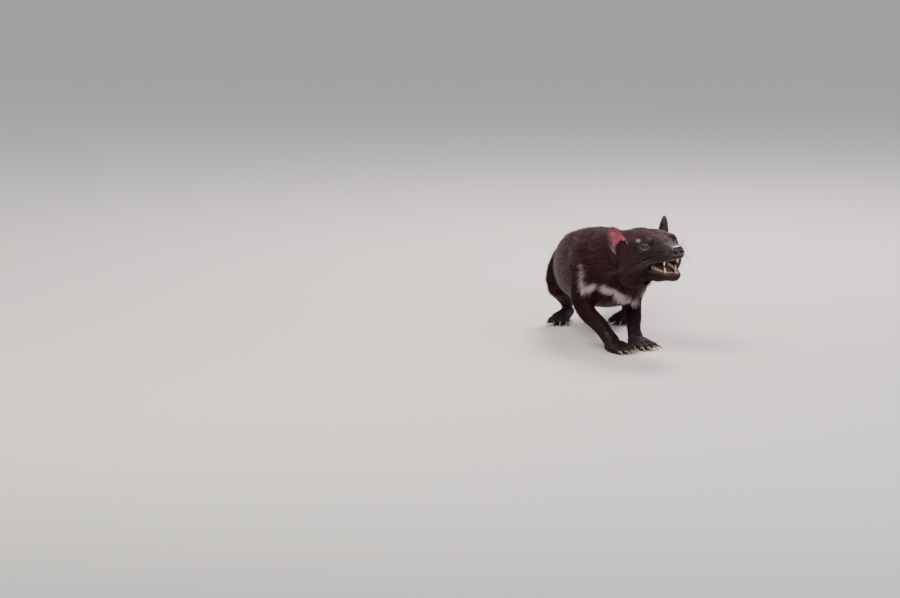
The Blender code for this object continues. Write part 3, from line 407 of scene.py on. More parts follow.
limbNodes = [
    f"{part}_{side}" for part in ("foreleg", "forefoot", "hindleg", "hindfoot") for side in ("right", "left")
]
bodyNodes = ["neck", "chest", "belly", "rump"] + limbNodes
fleshNodes = ["head", "lower_jaw", "tail"] + bodyNodes

skinShape = {
    "voxel": 0.00085,
    "overlap": 0.0003,  # closes the gaps between the solids
    "triangles": 186000,
    "rounds": 14,  # smoothing rounds of the trunk
}


def headForms():
    pads = [ball(*pad) for pad in headPads]
    pads.append(ball(eyeShape["at"], (eyeShape["radius"] + 0.0016,) * 3))
    upper = [tube(level(tables["skull"]), 60, sides=48, power=2.35), *pads, *map(mirrored, pads)]
    upper.append(ridge(tables["upperLip"]))
    lower = [
        tube(level(tables["jaw"]), 44, sides=40, power=2.5),
        ball((0.0824, 0.0, -0.0075), (0.011, 0.0115, 0.0068)),  # chin
        ridge(tables["lowerLip"]),
    ]
    return joined([moved(joined(upper), headFrame), moved(joined(lower), jawFrame)])


def bodyForms():
    forms = []
    for name in bodyNodes:
        points, normals, faces = nodeMesh(name)
        forms.append((points + normals * skinShape["overlap"], faces))
    tail = tube(level(tables["tail"]), 70, sides=28, power=2.0)
    forms.append((posed(tail[0]), tail[1]))
    return joined(forms)


def gumForms():
    upper = [(x, y, -0.0110, 0.0034) for x, y in tables["upperArch"]]
    lower = [(x, y, -0.0020, 0.0030) for x, y in tables["lowerArch"]]
    return joined([moved(ridge(upper), headFrame), moved(ridge(lower), jawFrame)])


def booleanWith(obj, mesh, operation, voxel=0.0009):
    other = makeObject("operand", mesh)
    if voxel:
        modify(other, "REMESH", mode="VOXEL", voxel_size=voxel)
    modify(obj, "BOOLEAN", object=other, operation=operation, solver="MANIFOLD")
    remove(other)


def group(obj, name, weights):
    made = obj.vertex_groups.new(name=name)
    steps = np.round(weights, 1)
    for value in np.unique(steps):
        made.add(np.nonzero(steps == value)[0].tolist(), float(value), "REPLACE")


def headShare(points):
    # 1 on the head, 0 behind it
    return ramp(inFrame(points, headFrame)[:, 0], -0.01, 0.03) * ramp(points[:, 2], 0.085, 0.10)


# how deep the skin lies under the solids: on the trunk and foot, less on the leg, more behind the muzzle
coatDeep = {"trunk": 0.0052, "lessOnLeg": 0.0030, "foot": 0.0007, "muzzle": 0.0004, "moreOnHead": 0.0030}


def coatDepth(points):
    # how deep the skin lies under the solids' surface, which stands for the coat's
    local = inFrame(points, headFrame)
    head = headShare(points)
    leg, foot = ramp(points[:, 2], 0.075, 0.045), ramp(points[:, 2], 0.030, 0.016)
    depth = coatDeep["trunk"] - coatDeep["lessOnLeg"] * leg
    depth = depth * (1 - foot) + coatDeep["foot"] * foot
    face = coatDeep["moreOnHead"] * ramp(local[:, 0], 0.085, 0.030) + coatDeep["muzzle"]
    depth = depth * (1 - head) + face * head
    eye = np.array(eyeShape["at"])
    away = np.linalg.norm(local * (1, 0, 1) + np.abs(local) * (0, 1, 0) - eye, axis=1)
    depth *= ramp(away, 0.012, 0.020)
    depth *= 1 - ramp(straightened(points)[:, 0], -0.44, -0.47)  # the tail's tube is already thin
    return depth


def pathDistance(points, path):
    # signed distance outside a tube along a path of x, y, z, radius
    best = np.full(len(points), 1e9)
    for a, b in zip(path, path[1:]):
        a, b = np.array(a), np.array(b)
        run = b[:3] - a[:3]
        t = np.clip((points - a[:3]) @ run / (run @ run), 0, 1)
        gap = np.linalg.norm(points - a[:3] - t[:, None] * run, axis=1) - (a[3] + (b[3] - a[3]) * t)
        best = np.minimum(best, gap)
    return best


def eyeBasis(side):
    look = Vector((eyeShape["look"][0], side * eyeShape["look"][1], eyeShape["look"][2])).normalized()
    along = Vector((eyeShape["slit"][0], side * eyeShape["slit"][1], eyeShape["slit"][2]))
    along = (along - along.dot(look) * look).normalized()
    up = look.cross(along) * (1 if side > 0 else -1)
    centre = Vector((eyeShape["at"][0], side * eyeShape["at"][1], eyeShape["at"][2]))
    return centre, look, along, up


def eyeCutters():
    cutters = []
    for side in (-1, 1):
        centre, look, along, up = eyeBasis(side)
        turn = Matrix((look, along, up)).transposed().to_4x4()
        radius = eyeShape["radius"]
        opening = (0.0075, *eyeShape["half"])
        cutters.append(moved(ball(centre + look * radius, opening, turn, steps=(40, 28)), headFrame))
        cutters.append(moved(ball(centre, (radius + 0.0001,) * 3, steps=(40, 28)), headFrame))
    return cutters


# creases and ridges of the face, left side, in the head's frame: path of x, y, z and radius, rise
faceLines = (
    (((0.092, 0.027, 0.006, 0.0012), (0.104, 0.021, 0.001, 0.0010)), -0.0008),  # in front of the eye
    (((0.050, 0.0, 0.040, 0.0014), (0.078, 0.0, 0.034, 0.0012), (0.102, 0.0, 0.018, 0.0010)), -0.0007),
    (((0.117, 0.014, 0.006, 0.0007), (0.106, 0.017, 0.011, 0.0008), (0.094, 0.019, 0.017, 0.0006)), -0.0006),
    (((0.116, 0.017, 0.002, 0.0007), (0.104, 0.021, 0.006, 0.0008), (0.095, 0.024, 0.010, 0.0006)), -0.0005),
    (((0.061, 0.017, 0.038, 0.0022), (0.078, 0.023, 0.030, 0.0026), (0.093, 0.024, 0.019, 0.0016)), 0.0010),
    (((0.072, 0.040, 0.004, 0.0012), (0.082, 0.037, 0.001, 0.0014), (0.093, 0.032, 0.001, 0.0010)), -0.0007),
    (
        ((0.070, 0.043, -0.004, 0.0016), (0.083, 0.037, -0.006, 0.0018), (0.095, 0.030, -0.005, 0.0012)),
        0.0008,
    ),
    (
        ((0.063, 0.038, -0.012, 0.0012), (0.080, 0.034, -0.0105, 0.0012), (0.098, 0.027, -0.009, 0.0010)),
        -0.0007,
    ),
)


def eyeDistance(folded):
    # distance from the middle of the left eye's opening, less along the slit, and the place along it
    centre, look, along, up = (np.array(v) for v in eyeBasis(1))
    apart = folded - centre - look * eyeShape["radius"]
    x, z, out = apart @ along, apart @ up, apart @ look
    return np.sqrt((x / 1.4) ** 2 + z**2 + (out / 1.4) ** 2), x


def faceRelief(points):
    # how far the face rises or falls at each point: creases, brow fold, whisker pits, eye rings
    local = inFrame(points, headFrame)
    folded = local * (1, 0, 1) + np.abs(local) * (0, 1, 0)
    out = np.zeros(len(points))
    near = np.nonzero((local[:, 0] > 0.035) & (headShare(points) > 0.5))[0]
    close = folded[near]
    rise = np.zeros(len(near))
    for path, amount in faceLines:
        rise += amount * ramp(pathDistance(close, path), 0.0026, -0.0004)
    away, x = eyeDistance(close)
    rings = np.sin((away - 0.0052) / 0.0024 * 2 * math.pi + 0.9 * np.sin(x * 420))
    rise += 0.00042 * rings * ramp(away, 0.0046, 0.0058) * ramp(away, 0.0130, 0.0080)
    rise += 0.0009 * ramp(away, 0.0066, 0.0046)
    for root, _ in whiskerBed():
        gap = np.linalg.norm(close - np.array(root), axis=1)
        rise += 0.00045 * ramp(gap, 0.0022, 0.0004)
    out[near] = rise
    return out


def whiskerBed():
    # roots of the whiskers beside the nose, and how far back each is in its row
    roots = []
    for row in range(5):
        for k in range(6 - row % 2):
            x = 0.1165 - 0.0048 * k - 0.0011 * (row % 2)
            y = 0.0172 + 0.20 * (0.1165 - x) + 0.0014 * math.sin(row * 1.3)
            roots.append(((x, y, 0.0030 - 0.0036 * row), k))
    return roots


def makeSkin():
    skin = makeObject("skin", joined([bodyForms(), headForms()]))
    modify(skin, "REMESH", mode="VOXEL", voxel_size=skinShape["voxel"] * 1.2)
    palate = moved(tube(level(tables["palate"]), 30, power=2.6), headFrame)
    below = moved(tube(level(tables["mouthFloor"]), 30, power=2.6), jawFrame)
    booleanWith(skin, joined([palate, below]), "DIFFERENCE")
    booleanWith(skin, gumForms(), "UNION")
    modify(skin, "REMESH", mode="VOXEL", voxel_size=skinShape["voxel"])
    print("skin fused", len(skin.data.polygons))
    points = vertexArray(skin)
    group(skin, "broad", 1 - np.maximum(headShare(points), ramp(points[:, 2], 0.045, 0.030)))
    modify(skin, "SMOOTH", factor=0.5, iterations=skinShape["rounds"], vertex_group="broad")
    modify(skin, "SMOOTH", factor=0.5, iterations=3)
    points, normals = vertexArray(skin), vertexArray(skin, "normal")
    move = faceRelief(points) - coatDepth(points)
    setVertices(skin, points + normals * move[:, None])
    for cutter in eyeCutters():
        booleanWith(skin, cutter, "DIFFERENCE", voxel=None)
    points = vertexArray(skin)
    local = inFrame(points, headFrame)
    fine = ramp(local[:, 0], 0.01, 0.06) * headShare(points)
    fine = np.maximum(fine, 0.6 * ramp(points[:, 2], 0.045, 0.030))
    group(skin, "coarse", 1 - 0.85 * fine)
    skin.data.transform(Matrix.Scale(1000, 4))
    triangles = sum(len(p.vertices) - 2 for p in skin.data.polygons)
    modify(
        skin,
        "DECIMATE",
        ratio=skinShape["triangles"] / triangles,
        vertex_group="coarse",
        vertex_group_factor=0.1,
    )
    skin.data.transform(Matrix.Scale(0.001, 4))
    skin.data.shade_smooth()
    skin.vertex_groups.clear()
    print("skin thinned", len(skin.data.polygons))
    return skin


skin = makeSkin()


# what the skin carries: regions, lie, length and markings

# polyline of the white chest band, from the right shoulder to under the chin, and its half width
band = {
    "path": (
        (0.055, -0.060, 0.156, 0.0024),
        (0.066, -0.062, 0.147, 0.0028),
        (0.0785, -0.068, 0.125, 0.0034),
        (0.082, -0.068, 0.103, 0.0044),
        (0.092, -0.062, 0.103, 0.0064),
        (0.098, -0.053, 0.106, 0.0060),
        (0.1056, -0.044, 0.1055, 0.0046),
        (0.1157, -0.036, 0.103, 0.0052),
        (0.1205, -0.025, 0.0974, 0.0062),
        (0.1187, -0.0116, 0.0893, 0.0078),
        (0.109, 0.003, 0.080, 0.0095),
        (0.100, 0.018, 0.074, 0.0090),
        (0.0844, 0.038, 0.073, 0.0070),
        (0.083, 0.052, 0.077, 0.0050),
        (0.078, 0.060, 0.086, 0.0035),
    ),
    "edge": 0.0035,
}


def inTube(local, rows):
    # how far out a point is in the cross-section of a level tube: 1 on its surface
    rows = np.array(rows)
    x = np.clip(local[:, 0], rows[0, 0], rows[-1, 0])
    zc, hw, up, dn = (np.interp(x, rows[:, 0], rows[:, k]) for k in (1, 2, 3, 4))
    dz = local[:, 2] - zc
    tall = np.where(dz > 0, up, dn)
    ends = np.maximum(rows[0, 0] - local[:, 0], local[:, 0] - rows[-1, 0]).clip(0) / 0.004
    return np.sqrt((local[:, 1] / hw) ** 2 + (dz / tall) ** 2 + ends**2)


# bones that the coat follows: from, to and radius, in the straight animal's axes, left side
bones = {
    "middle": (
        ((0.02, 0, 0.14), (-0.10, 0, 0.135), 0.050),
        ((-0.10, 0, 0.135), (-0.25, 0, 0.120), 0.050),
        ((-0.25, 0, 0.120), (-0.40, 0, 0.122), 0.045),
        ((-0.40, 0, 0.122), (-0.50, 0, 0.122), 0.030),
        ((-0.50, 0, 0.122), (-0.56, 0, 0.112), 0.015),
        ((-0.56, 0, 0.112), (-0.67, 0, 0.099), 0.012),
    ),
    "fore": (
        ((-0.070, 0.048, 0.125), (-0.069, 0.054, 0.084), 0.020),
        ((-0.069, 0.054, 0.084), (-0.038, 0.043, 0.047), 0.016),
        ((-0.038, 0.043, 0.047), (-0.012, 0.034, 0.018), 0.013),
        ((-0.012, 0.034, 0.018), (0.034, 0.034, 0.006), 0.012),
    ),
    "hind": (
        ((-0.350, 0.030, 0.130), (-0.300, 0.058, 0.080), 0.028),
        ((-0.300, 0.058, 0.080), (-0.356, 0.054, 0.043), 0.015),
        ((-0.356, 0.054, 0.043), (-0.380, 0.052, 0.020), 0.011),
        ((-0.380, 0.052, 0.016), (-0.296, 0.052, 0.006), 0.012),
    ),
    "steps": {"fore": ((0.004, 0.003), (-0.006, -0.013)), "hind": ((0.006, 0.000), (-0.022, 0.000))},
}


def boneList():
    out = [(np.array(a), np.array(b), r, "middle") for a, b, r in bones["middle"]]
    for limb in ("fore", "hind"):
        for side, step in zip((-1, 1), bones["steps"][limb]):
            for a, b, r in bones[limb]:
                ends = []
                for p in (a, b):
                    share = min(1.0, max(0.0, 1 - (p[2] - 0.020) / 0.110))
                    ends.append((p[0] + step[0] * share, side * (p[1] + step[1] * share), p[2]))
                out.append((np.array(ends[0]), np.array(ends[1]), r, limb))
    return out


# hair lengths; the tail's tip has that much more
hairLong = {"trunk": 0.0150, "leg": 0.0060, "foot": 0.0036, "muzzle": 0.0022, "tail": 0.020, "tailTip": 0.010}


def markSkin(skin):
    points, normals = vertexArray(skin), vertexArray(skin, "normal")
    straight = straightened(points)
    local = inFrame(points, headFrame)
    jawLocal = inFrame(points, jawFrame)
    head = headShare(points)
    folded = local * (1, 0, 1) + np.abs(local) * (0, 1, 0)

    # the lie: along the bones, and on the head away from the nose
    lie = np.zeros_like(points)
    closeness = {
        "middle": np.zeros(len(points)),
        "fore": np.zeros(len(points)),
        "hind": np.zeros(len(points)),
    }
    for a, b, radius, kind in boneList():
        a, b = posed([a, b])
        run = b - a
        t = np.clip((points - a) @ run / (run @ run), 0, 1)
        q = np.linalg.norm(points - a - t[:, None] * run, axis=1) / radius
        weight = 1 / (0.15 + q**5)
        lie += weight[:, None] * run / np.linalg.norm(run)
        closeness[kind] = np.maximum(closeness[kind], weight)
    lie = unit(lie)
    lie[:, 2] -= 0.30 * (1 - head)
    fromNose = folded - (0.143, 0.0, -0.006)
    fromNose[:, 1] *= np.sign(local[:, 1])
    fromChin = jawLocal - (0.101, 0.0, 0.012)
    jaw = ramp(jawLocal[:, 2], 0.004, -0.004) * ramp(local[:, 0], 0.020, 0.045)
    radial = unit(fromNose) @ np.array(headFrame)[:3, :3].T
    radialJaw = unit(fromChin) @ np.array(jawFrame)[:3, :3].T
    radial = radial * (1 - jaw[:, None]) + radialJaw * jaw[:, None]
    blend = ramp(local[:, 0], -0.035, 0.030) * ramp(points[:, 2], 0.085, 0.11)
    lie = unit(lie) * (1 - blend[:, None]) + radial * blend[:, None]
    lie = unit(lie - (lie * normals).sum(1)[:, None] * normals)

    # bare places
    eye = eyeDistance(folded)[0]
    lids = ramp(eye, 0.0072, 0.0048)
    mouthHollow = np.minimum(inTube(local, tables["palate"]), inTube(jawLocal, tables["mouthFloor"]))
    upperGum = pathDistance(folded, [(x, y, -0.0110, 0.0034) for x, y in tables["upperArch"]])
    jawFolded = jawLocal * (1, 0, 1) + np.abs(jawLocal) * (0, 1, 0)
    lowerGum = pathDistance(jawFolded, [(x, y, -0.0020, 0.0030) for x, y in tables["lowerArch"]])
    gum = np.minimum(upperGum, lowerGum)
    inside = np.maximum(ramp(mouthHollow, 1.16, 1.02), ramp(gum, 0.0012, 0.0004))
    upperLip = pathDistance(folded, tables["upperLip"])
    lowerLip = pathDistance(jawFolded, tables["lowerLip"])
    upperRows, lowerRows = np.array(tables["upperLip"]), np.array(tables["lowerLip"])
    underUpper = np.interp(local[:, 0], upperRows[:, 0], upperRows[:, 2]) - local[:, 2]
    overLower = jawLocal[:, 2] - np.interp(jawLocal[:, 0], lowerRows[:, 0], lowerRows[:, 2])
    nearLip = np.maximum(
        ramp(upperLip, 0.0012, 0.0002) * ramp(underUpper, 0.0002, 0.0018),
        ramp(lowerLip, 0.0012, 0.0002) * ramp(overLower, 0.0002, 0.0018),
    )
    nose = ramp(np.linalg.norm((local - (0.1265, 0, -0.0010)) * (1, 0.75, 1.05), axis=1), 0.0128, 0.0106)
    sole = ramp(points[:, 2], 0.0035, 0.0015) * ramp(normals[:, 2], -0.2, -0.6)
    bare = np.clip(lids + nearLip + nose + sole, 0, 1)

    # lengths
    leg, foot = ramp(points[:, 2], 0.090, 0.035), ramp(points[:, 2], 0.028, 0.012)
    long = hairLong["trunk"] * (1 - leg) + hairLong["leg"] * leg
    long = long * (1 - foot) + hairLong["foot"] * foot
    x = local[:, 0]
    face = hairLong["muzzle"] + 0.0034 * ramp(x, 0.130, 0.075) + 0.0060 * ramp(x, 0.060, 0.000)
    face += 0.0025 * ramp(local[:, 2], -0.005, -0.030) * ramp(local[:, 0], 0.085, 0.050)
    face += 0.0012 * jaw
    face *= 1 - 0.62 * ramp(eye, 0.0130, 0.0065)
    long = long * (1 - head) + face * head
    tail = ramp(straight[:, 0], -0.435, -0.480)
    tip = ramp(straight[:, 0], -0.47, -0.60)
    tailLong = hairLong["tail"] + hairLong["tailTip"] * tip
    long = long * (1 - tail) + tailLong * tail

    shown = points + lie * (0.5 * long)[:, None] - np.array(pose["shift"])  # the middle of each tuft
    marks = ramp(pathDistance(shown, band["path"]), band["edge"], -0.001)
    spot = np.linalg.norm((folded - (0.0700, 0.0330, 0.0240)) * (0.6, 1, 1), axis=1)
    marks = np.maximum(marks, 0.55 * ramp(spot, 0.0050, 0.0010))  # a few pale hairs over the eye
    # painted sunlight: the top of the head is coloured redder and lighter, as where the sun falls on it
    crown = ramp(local[:, 2], 0.012, 0.032) * ramp(local[:, 0], -0.03, 0.01) * ramp(local[:, 0], 0.110, 0.080)

    part = np.full(len(points), 3)  # chest
    part[straight[:, 0] < -0.115] = 4
    part[straight[:, 0] < -0.205] = 5
    part[straight[:, 0] < -0.310] = 6
    part[straight[:, 0] > -0.022] = 2
    limb = np.maximum(closeness["fore"], closeness["hind"]) > closeness["middle"]
    part[limb & (points[:, 2] < 0.105)] = 7
    part[points[:, 2] < 0.026] = 8
    part[(straight[:, 0] < -0.438) & (points[:, 2] > 0.05)] = 9
    part[(head > 0.5) & (local[:, 0] > 0.0)] = 1
    part[(head > 0.5) & (local[:, 0] > 0.056)] = 0

    store(skin, "lie", lie, "FLOAT_VECTOR")
    store(skin, "long", long)
    store(skin, "thick", np.clip(1 - (bare - 0.42 * lids) * 1.6, 0, 1) * (1 - inside))
    store(skin, "band", marks)
    store(skin, "crown", crown * head)
    store(skin, "bare", np.clip(lids + sole + nearLip * 0.8, 0, 1))
    store(skin, "lids", lids)
    store(skin, "mouth", inside)
    store(skin, "gum", ramp(gum, 0.0012, 0.0002))
    flat = np.zeros(len(skin.data.polygons) * 3, int)
    skin.data.polygons.foreach_get("vertices", flat)
    store(skin, "part", np.median(part[flat.reshape(-1, 3)], axis=1), "FLOAT", "FACE")


modify(skin, "TRIANGULATE")
markSkin(skin)


def unwrap(obj, margin=0.002):
    bpy.ops.object.select_all(action="DESELECT")
    bpy.context.view_layer.objects.active = obj
    obj.select_set(True)
    obj.data.uv_layers.new(name="OFBake")
    bpy.ops.object.mode_set(mode="EDIT")
    bpy.ops.mesh.select_all(action="SELECT")
    bpy.ops.uv.smart_project(angle_limit=math.radians(70), island_margin=margin)
    bpy.ops.object.mode_set(mode="OBJECT")


unwrap(skin)
print("skin marked and unwrapped")


# materials


def linear(hexColour):
    # an sRGB hex colour as linear red, green, blue and alpha
    parts = [int(hexColour[k : k + 2], 16) / 255 for k in (1, 3, 5)]
    return (*[c / 12.92 if c <= 0.04045 else ((c + 0.055) / 1.055) ** 2.4 for c in parts], 1.0)


def addNode(tree, kind, inputs=None, output=0, **settings):
    # adds a node with its settings, fills or links its inputs and gives the output that is asked for
    node = tree.nodes.new(kind)
    for key, value in settings.items():
        setattr(node, key, value)
    for key, item in (inputs or {}).items():
        if isinstance(item, bpy.types.NodeSocket):
            tree.links.new(item, node.inputs[key])
        elif isinstance(item, str) and item.startswith("#"):
            node.inputs[key].default_value = linear(item)
        else:
            node.inputs[key].default_value = item
    return node.outputs[output] if node.outputs else node


def newMaterial(name, **values):
    made = bpy.data.materials.new(name)
    made.use_nodes = True
    shader = made.node_tree.nodes["Principled BSDF"]
    for key, value in values.items():
        shader.inputs[key.replace("_", " ")].default_value = value
    return made, made.node_tree, shader


def shareOf(tree, given):
    # a number, a socket or an attribute's name, alone or with its two ends and the shares there
    source, *ends = given if isinstance(given, tuple) else (given,)
    if isinstance(source, str):
        source = addNode(tree, "ShaderNodeAttribute", output="Fac", attribute_name=source)
    return addNode(tree, "ShaderNodeMapRange", dict(enumerate((source, *ends)))) if ends else source


def layered(tree, colour, *layers):
    # lays colours over the first one, each by its share
    for given, over in layers:
        inputs = {0: shareOf(tree, given), 6: colour, 7: over}
        colour = addNode(tree, "ShaderNodeMix", inputs, 2, data_type="RGBA")
    return colour


def dress(tree, shader, colour, height=None, strength=0.4, distance=0.0004, invert=False):
    # gives the shader its colour and, where there is a height, its small relief
    tree.links.new(colour, shader.inputs["Base Color"])
    if height:
        inputs = {"Strength": strength, "Distance": distance, "Height": height}
        tree.links.new(addNode(tree, "ShaderNodeBump", inputs, invert=invert), shader.inputs["Normal"])


def furColours(tree, place):
    # the coat without its band: brown-black with warmer, redder patches, and painted sunlight that makes the
    # crown redder and lighter
    patches = addNode(tree, "ShaderNodeTexNoise", {"Scale": 14.0, "Detail": 3.0, "Vector": place})
    return layered(tree, "#1b0f12", ((patches, 0.42, 0.68), "#321a20"), ("crown", "#47241f"))


def furMaterial():
    # coarse guard hair, slightly greasy: a broad satin shine along the tufts
    made, tree, shader = newMaterial(
        "fur",
        Roughness=0.42,
        Specular_Tint=linear("#c88490"),
        Sheen_Weight=0.16,
        Sheen_Roughness=0.4,
        Sheen_Tint=linear("#a8627a"),
    )
    place = addNode(tree, "ShaderNodeTexCoord", output="Object")
    white = layered(tree, "#f0e2e0", (("along", 0.0, 0.7, 0.6, 0.0), "#b39f9f"))
    colour = layered(
        tree,
        furColours(tree, place),
        (("along", 0.0, 0.5, 0.75, 0.0), "#080505"),
        (("along", 0.45, 1.0, 0.0, 0.55), "#5a3036"),
        (("shade", 0.0, 1.0, 0.45, 0.0), "#0b0707"),
        (("shade", 0.93, 1.0, 0.0, 0.5), "#7b625c"),
        ("band", white),
    )
    dress(tree, shader, colour)
    return made


def skinMaterial():
    # short flat hair over dark skin; bare lids, lips and soles; wet mouth
    made, tree, shader = newMaterial("skin", Roughness=0.6)
    place = addNode(tree, "ShaderNodeTexCoord", output="Object")
    fine = addNode(tree, "ShaderNodeTexNoise", {"Scale": 420.0, "Detail": 4.0, "Vector": place})
    colour = layered(
        tree,
        furColours(tree, place),
        (0.35, "#0a0606"),
        ("band", "#c9b6b4"),
        ("bare", layered(tree, "#150e0f", (fine, "#302223"))),
        (("lids", 0.3, 1.0, 0.0, 0.62), layered(tree, "#251b1d", ((fine, 0.35, 0.65), "#7d6a6b"))),
        ("mouth", layered(tree, "#8c3f42", (fine, "#b76a68"), ("gum", "#a2565a"))),
    )
    dress(tree, shader, colour, fine, strength=0.5, distance=0.0006)
    tree.links.new(shareOf(tree, ("mouth", 0.3, 1.0, 0.58, 0.22)), shader.inputs["Roughness"])
    return made


materials = {"fur": furMaterial(), "skin": skinMaterial()}
skin.data.materials.clear()
skin.data.materials.append(materials["skin"])
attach(skin, "root")
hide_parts(*fleshNodes)


# ears


def earMesh(side):
    # a cupped ear with folds inside, a thin rim and its foot in the head
    rise = Vector(earShape["rise"]).normalized()
    outward = Vector(earShape["outward"])
    outward = (outward - outward.dot(rise) * rise).normalized()
    across = rise.cross(outward).normalized()
    columns, rows = earShape["grid"]
    w, v = np.meshgrid(np.linspace(-1, 1, columns + 1), np.linspace(0, 1, rows + 1))
    w = np.sign(w) * np.abs(w) ** 0.85  # more columns at the rims
    half = earShape["halfWidth"] * (0.55 + 1.30 * v * (1 - v)) * np.sqrt(1 - v**7) + 0.0008
    cup = earShape["cup"] * (1 - 0.55 * v) * (1 - v**6) * (1 - np.abs(w) ** 2.2)
    cup += earShape["sink"] * np.clip(1 - v / 0.30, 0, 1) ** 2
    wave = 0.0011 * np.sin(6.0 * v + 0.7 * side + 1.5 * w) * np.abs(w) ** 2 * v
    foldA = 0.0027 * np.exp(-(((w + 0.42 - 0.25 * v) / 0.16) ** 2))
    foldA = foldA * ramp(v, 0.02, 0.18) * ramp(v, 0.72, 0.35)
    foldB = 0.0022 * np.exp(-(((w - 0.30 - 0.15 * v) / 0.13) ** 2))
    foldB = foldB * ramp(v, 0.05, 0.20) * ramp(v, 0.55, 0.25)
    ripple = 0.00035 * np.sin(46 * v + 5 * w) * ramp(v, 0.10, 0.30)
    ripple = ripple * ramp(v, 0.95, 0.6) * (1 - np.abs(w) ** 3)
    roll = 0.0007 * np.exp(-(((1 - np.abs(w)) / 0.10) ** 2)) + 0.0005 * np.exp(-(((1 - v) / 0.06) ** 2))
    thick = earShape["thickness"] * (0.55 + 0.45 * (1 - w * w)) * (1 + 1.8 * (1 - v) ** 3) + roll
    base = (
        np.array(earShape["at"])
        + v[..., None] * earShape["height"] * np.array(rise)
        + (half * w)[..., None] * np.array(across)
        - (cup + wave)[..., None] * np.array(outward)
    )
    front = base + (foldA + foldB + ripple)[..., None] * np.array(outward)
    back = base - thick[..., None] * np.array(outward)
    n = columns + 1
    points = np.concatenate([front.reshape(-1, 3), back.reshape(-1, 3)])
    offset = front.shape[0] * n
    faces = []
    for i in range(rows):
        for j in range(columns):
            a, b, c, d = i * n + j, i * n + j + 1, (i + 1) * n + j + 1, (i + 1) * n + j
            faces += [(a, b, c, d), (a + offset, d + offset, c + offset, b + offset)]
    rim = list(range(n)) + [i * n + columns for i in range(1, rows + 1)]
    rim += [rows * n + j for j in range(columns - 1, -1, -1)] + [i * n for i in range(rows - 1, 0, -1)]
    for a, b in zip(rim, rim[1:] + rim[:1]):
        faces.append((a, a + offset, b + offset, b))
    inner = np.concatenate([np.ones(offset), np.zeros(offset)])
    edge = np.maximum(np.abs(w), v**3).reshape(-1)
    height = v.reshape(-1)
    mesh = (points, faces)
    if side < 0:
        mesh = mirrored(mesh)
    return moved(mesh, headFrame), inner, np.tile(edge, 2), np.tile(height, 2)


def makeEars():
    parts = [earMesh(side) for side in (-1, 1)]
    ears = makeObject("ears", joined([p[0] for p in parts]))
    inner = np.concatenate([p[1] for p in parts])
    edge = np.concatenate([p[2] for p in parts])
    height = np.concatenate([p[3] for p in parts])
    rise = []
    for side in (-1, 1):
        up = Vector((earShape["rise"][0], side * earShape["rise"][1], earShape["rise"][2]))
        rise.append(np.tile(np.array(headFrame.to_3x3() @ up), (len(inner) // 2, 1)))
    store(ears, "lie", unit(np.concatenate(rise)), "FLOAT_VECTOR")
    store(ears, "inner", inner)
    store(ears, "edge", edge)
    # painted shade: the cup darkened towards its foot and away from its rims
    store(ears, "deep", ramp(height, 0.42, 0.08) * ramp(edge, 0.95, 0.55))
    # hair: short on the back, a longer fringe along the rims inside, sparse in the cup
    fringe = inner * ramp(edge, 0.72, 0.98) * ramp(height, 0.9, 0.5)
    store(ears, "long", 0.0040 + 0.0042 * fringe)
    store(ears, "thick", np.clip((1 - inner) * 1.0 + 0.9 * fringe + 0.10 * inner, 0, 1))
    store(ears, "band", 0.55 * fringe * ramp(height, 0.6, 0.2))
    store(ears, "crown", np.zeros(len(inner)))
    store(ears, "part", np.full(len(ears.data.polygons), 10.0), "FLOAT", "FACE")
    ears.data.shade_smooth()
    unwrap(ears)
    return ears


def earMaterial():
    # thin bare skin inside, flushed and veined, with painted shade low in the cup; dark short-haired skin
    # behind
    made, tree, shader = newMaterial(
        "earSkin", Roughness=0.5, Subsurface_Weight=0.12, Subsurface_Radius=(0.004, 0.0015, 0.001)
    )
    place = addNode(tree, "ShaderNodeTexCoord", output="Object")
    cloud = addNode(tree, "ShaderNodeTexNoise", {"Scale": 90.0, "Detail": 4.0, "Vector": place})
    inputs = {"Scale": 130.0, "Vector": place}
    veins = addNode(tree, "ShaderNodeTexVoronoi", inputs, "Distance", feature="DISTANCE_TO_EDGE")
    pink = layered(
        tree,
        "#742a38",
        ((cloud, 0.3, 0.7), "#c2637a"),
        ((veins, 0.0, 0.09, 0.16, 0.0), "#57161d"),
        (("edge", 0.55, 1.0, 0.0, 0.8), "#3a2223"),
        # painted shade low in the cup
        (("deep", 0.0, 1.0, 0.0, 0.8), "#240b0e"),
    )
    colour = layered(tree, layered(tree, "#1c1213", (cloud, "#3a2627")), ("inner", pink))
    dress(tree, shader, colour, cloud, strength=0.35, distance=0.0005)
    return made


def finishPiece(piece, material, slot, *nodes):
    piece.data.materials.clear()
    piece.data.materials.append(material)
    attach(piece, "root")
    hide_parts(*nodes)
    print(piece.name, len(piece.data.polygons), "faces")


ears = makeEars()
finishPiece(ears, earMaterial(), "ear_skin", "ear_right", "ear_left")


# eyes


def makeEyes():
    meshes, gaze = [], []
    for side in (-1, 1):
        centre, look, along, up = eyeBasis(side)
        points, faces = ball((0, 0, 0), (1, 1, 1), steps=(56, 36))
        angle = np.arccos(np.clip(points @ np.array(look), -1, 1))
        bulge = 1 + 0.055 * ramp(angle, 0.68, 0.30)  # the cornea
        points = points * bulge[:, None] * (eyeShape["radius"] - 0.0001) + np.array(centre)
        meshes.append(moved((points, faces), headFrame))
        gaze.append(angle)
    eyes = makeObject("eyes", joined(meshes))
    store(eyes, "gaze", np.concatenate(gaze))
    eyes.data.shade_smooth()
    return eyes


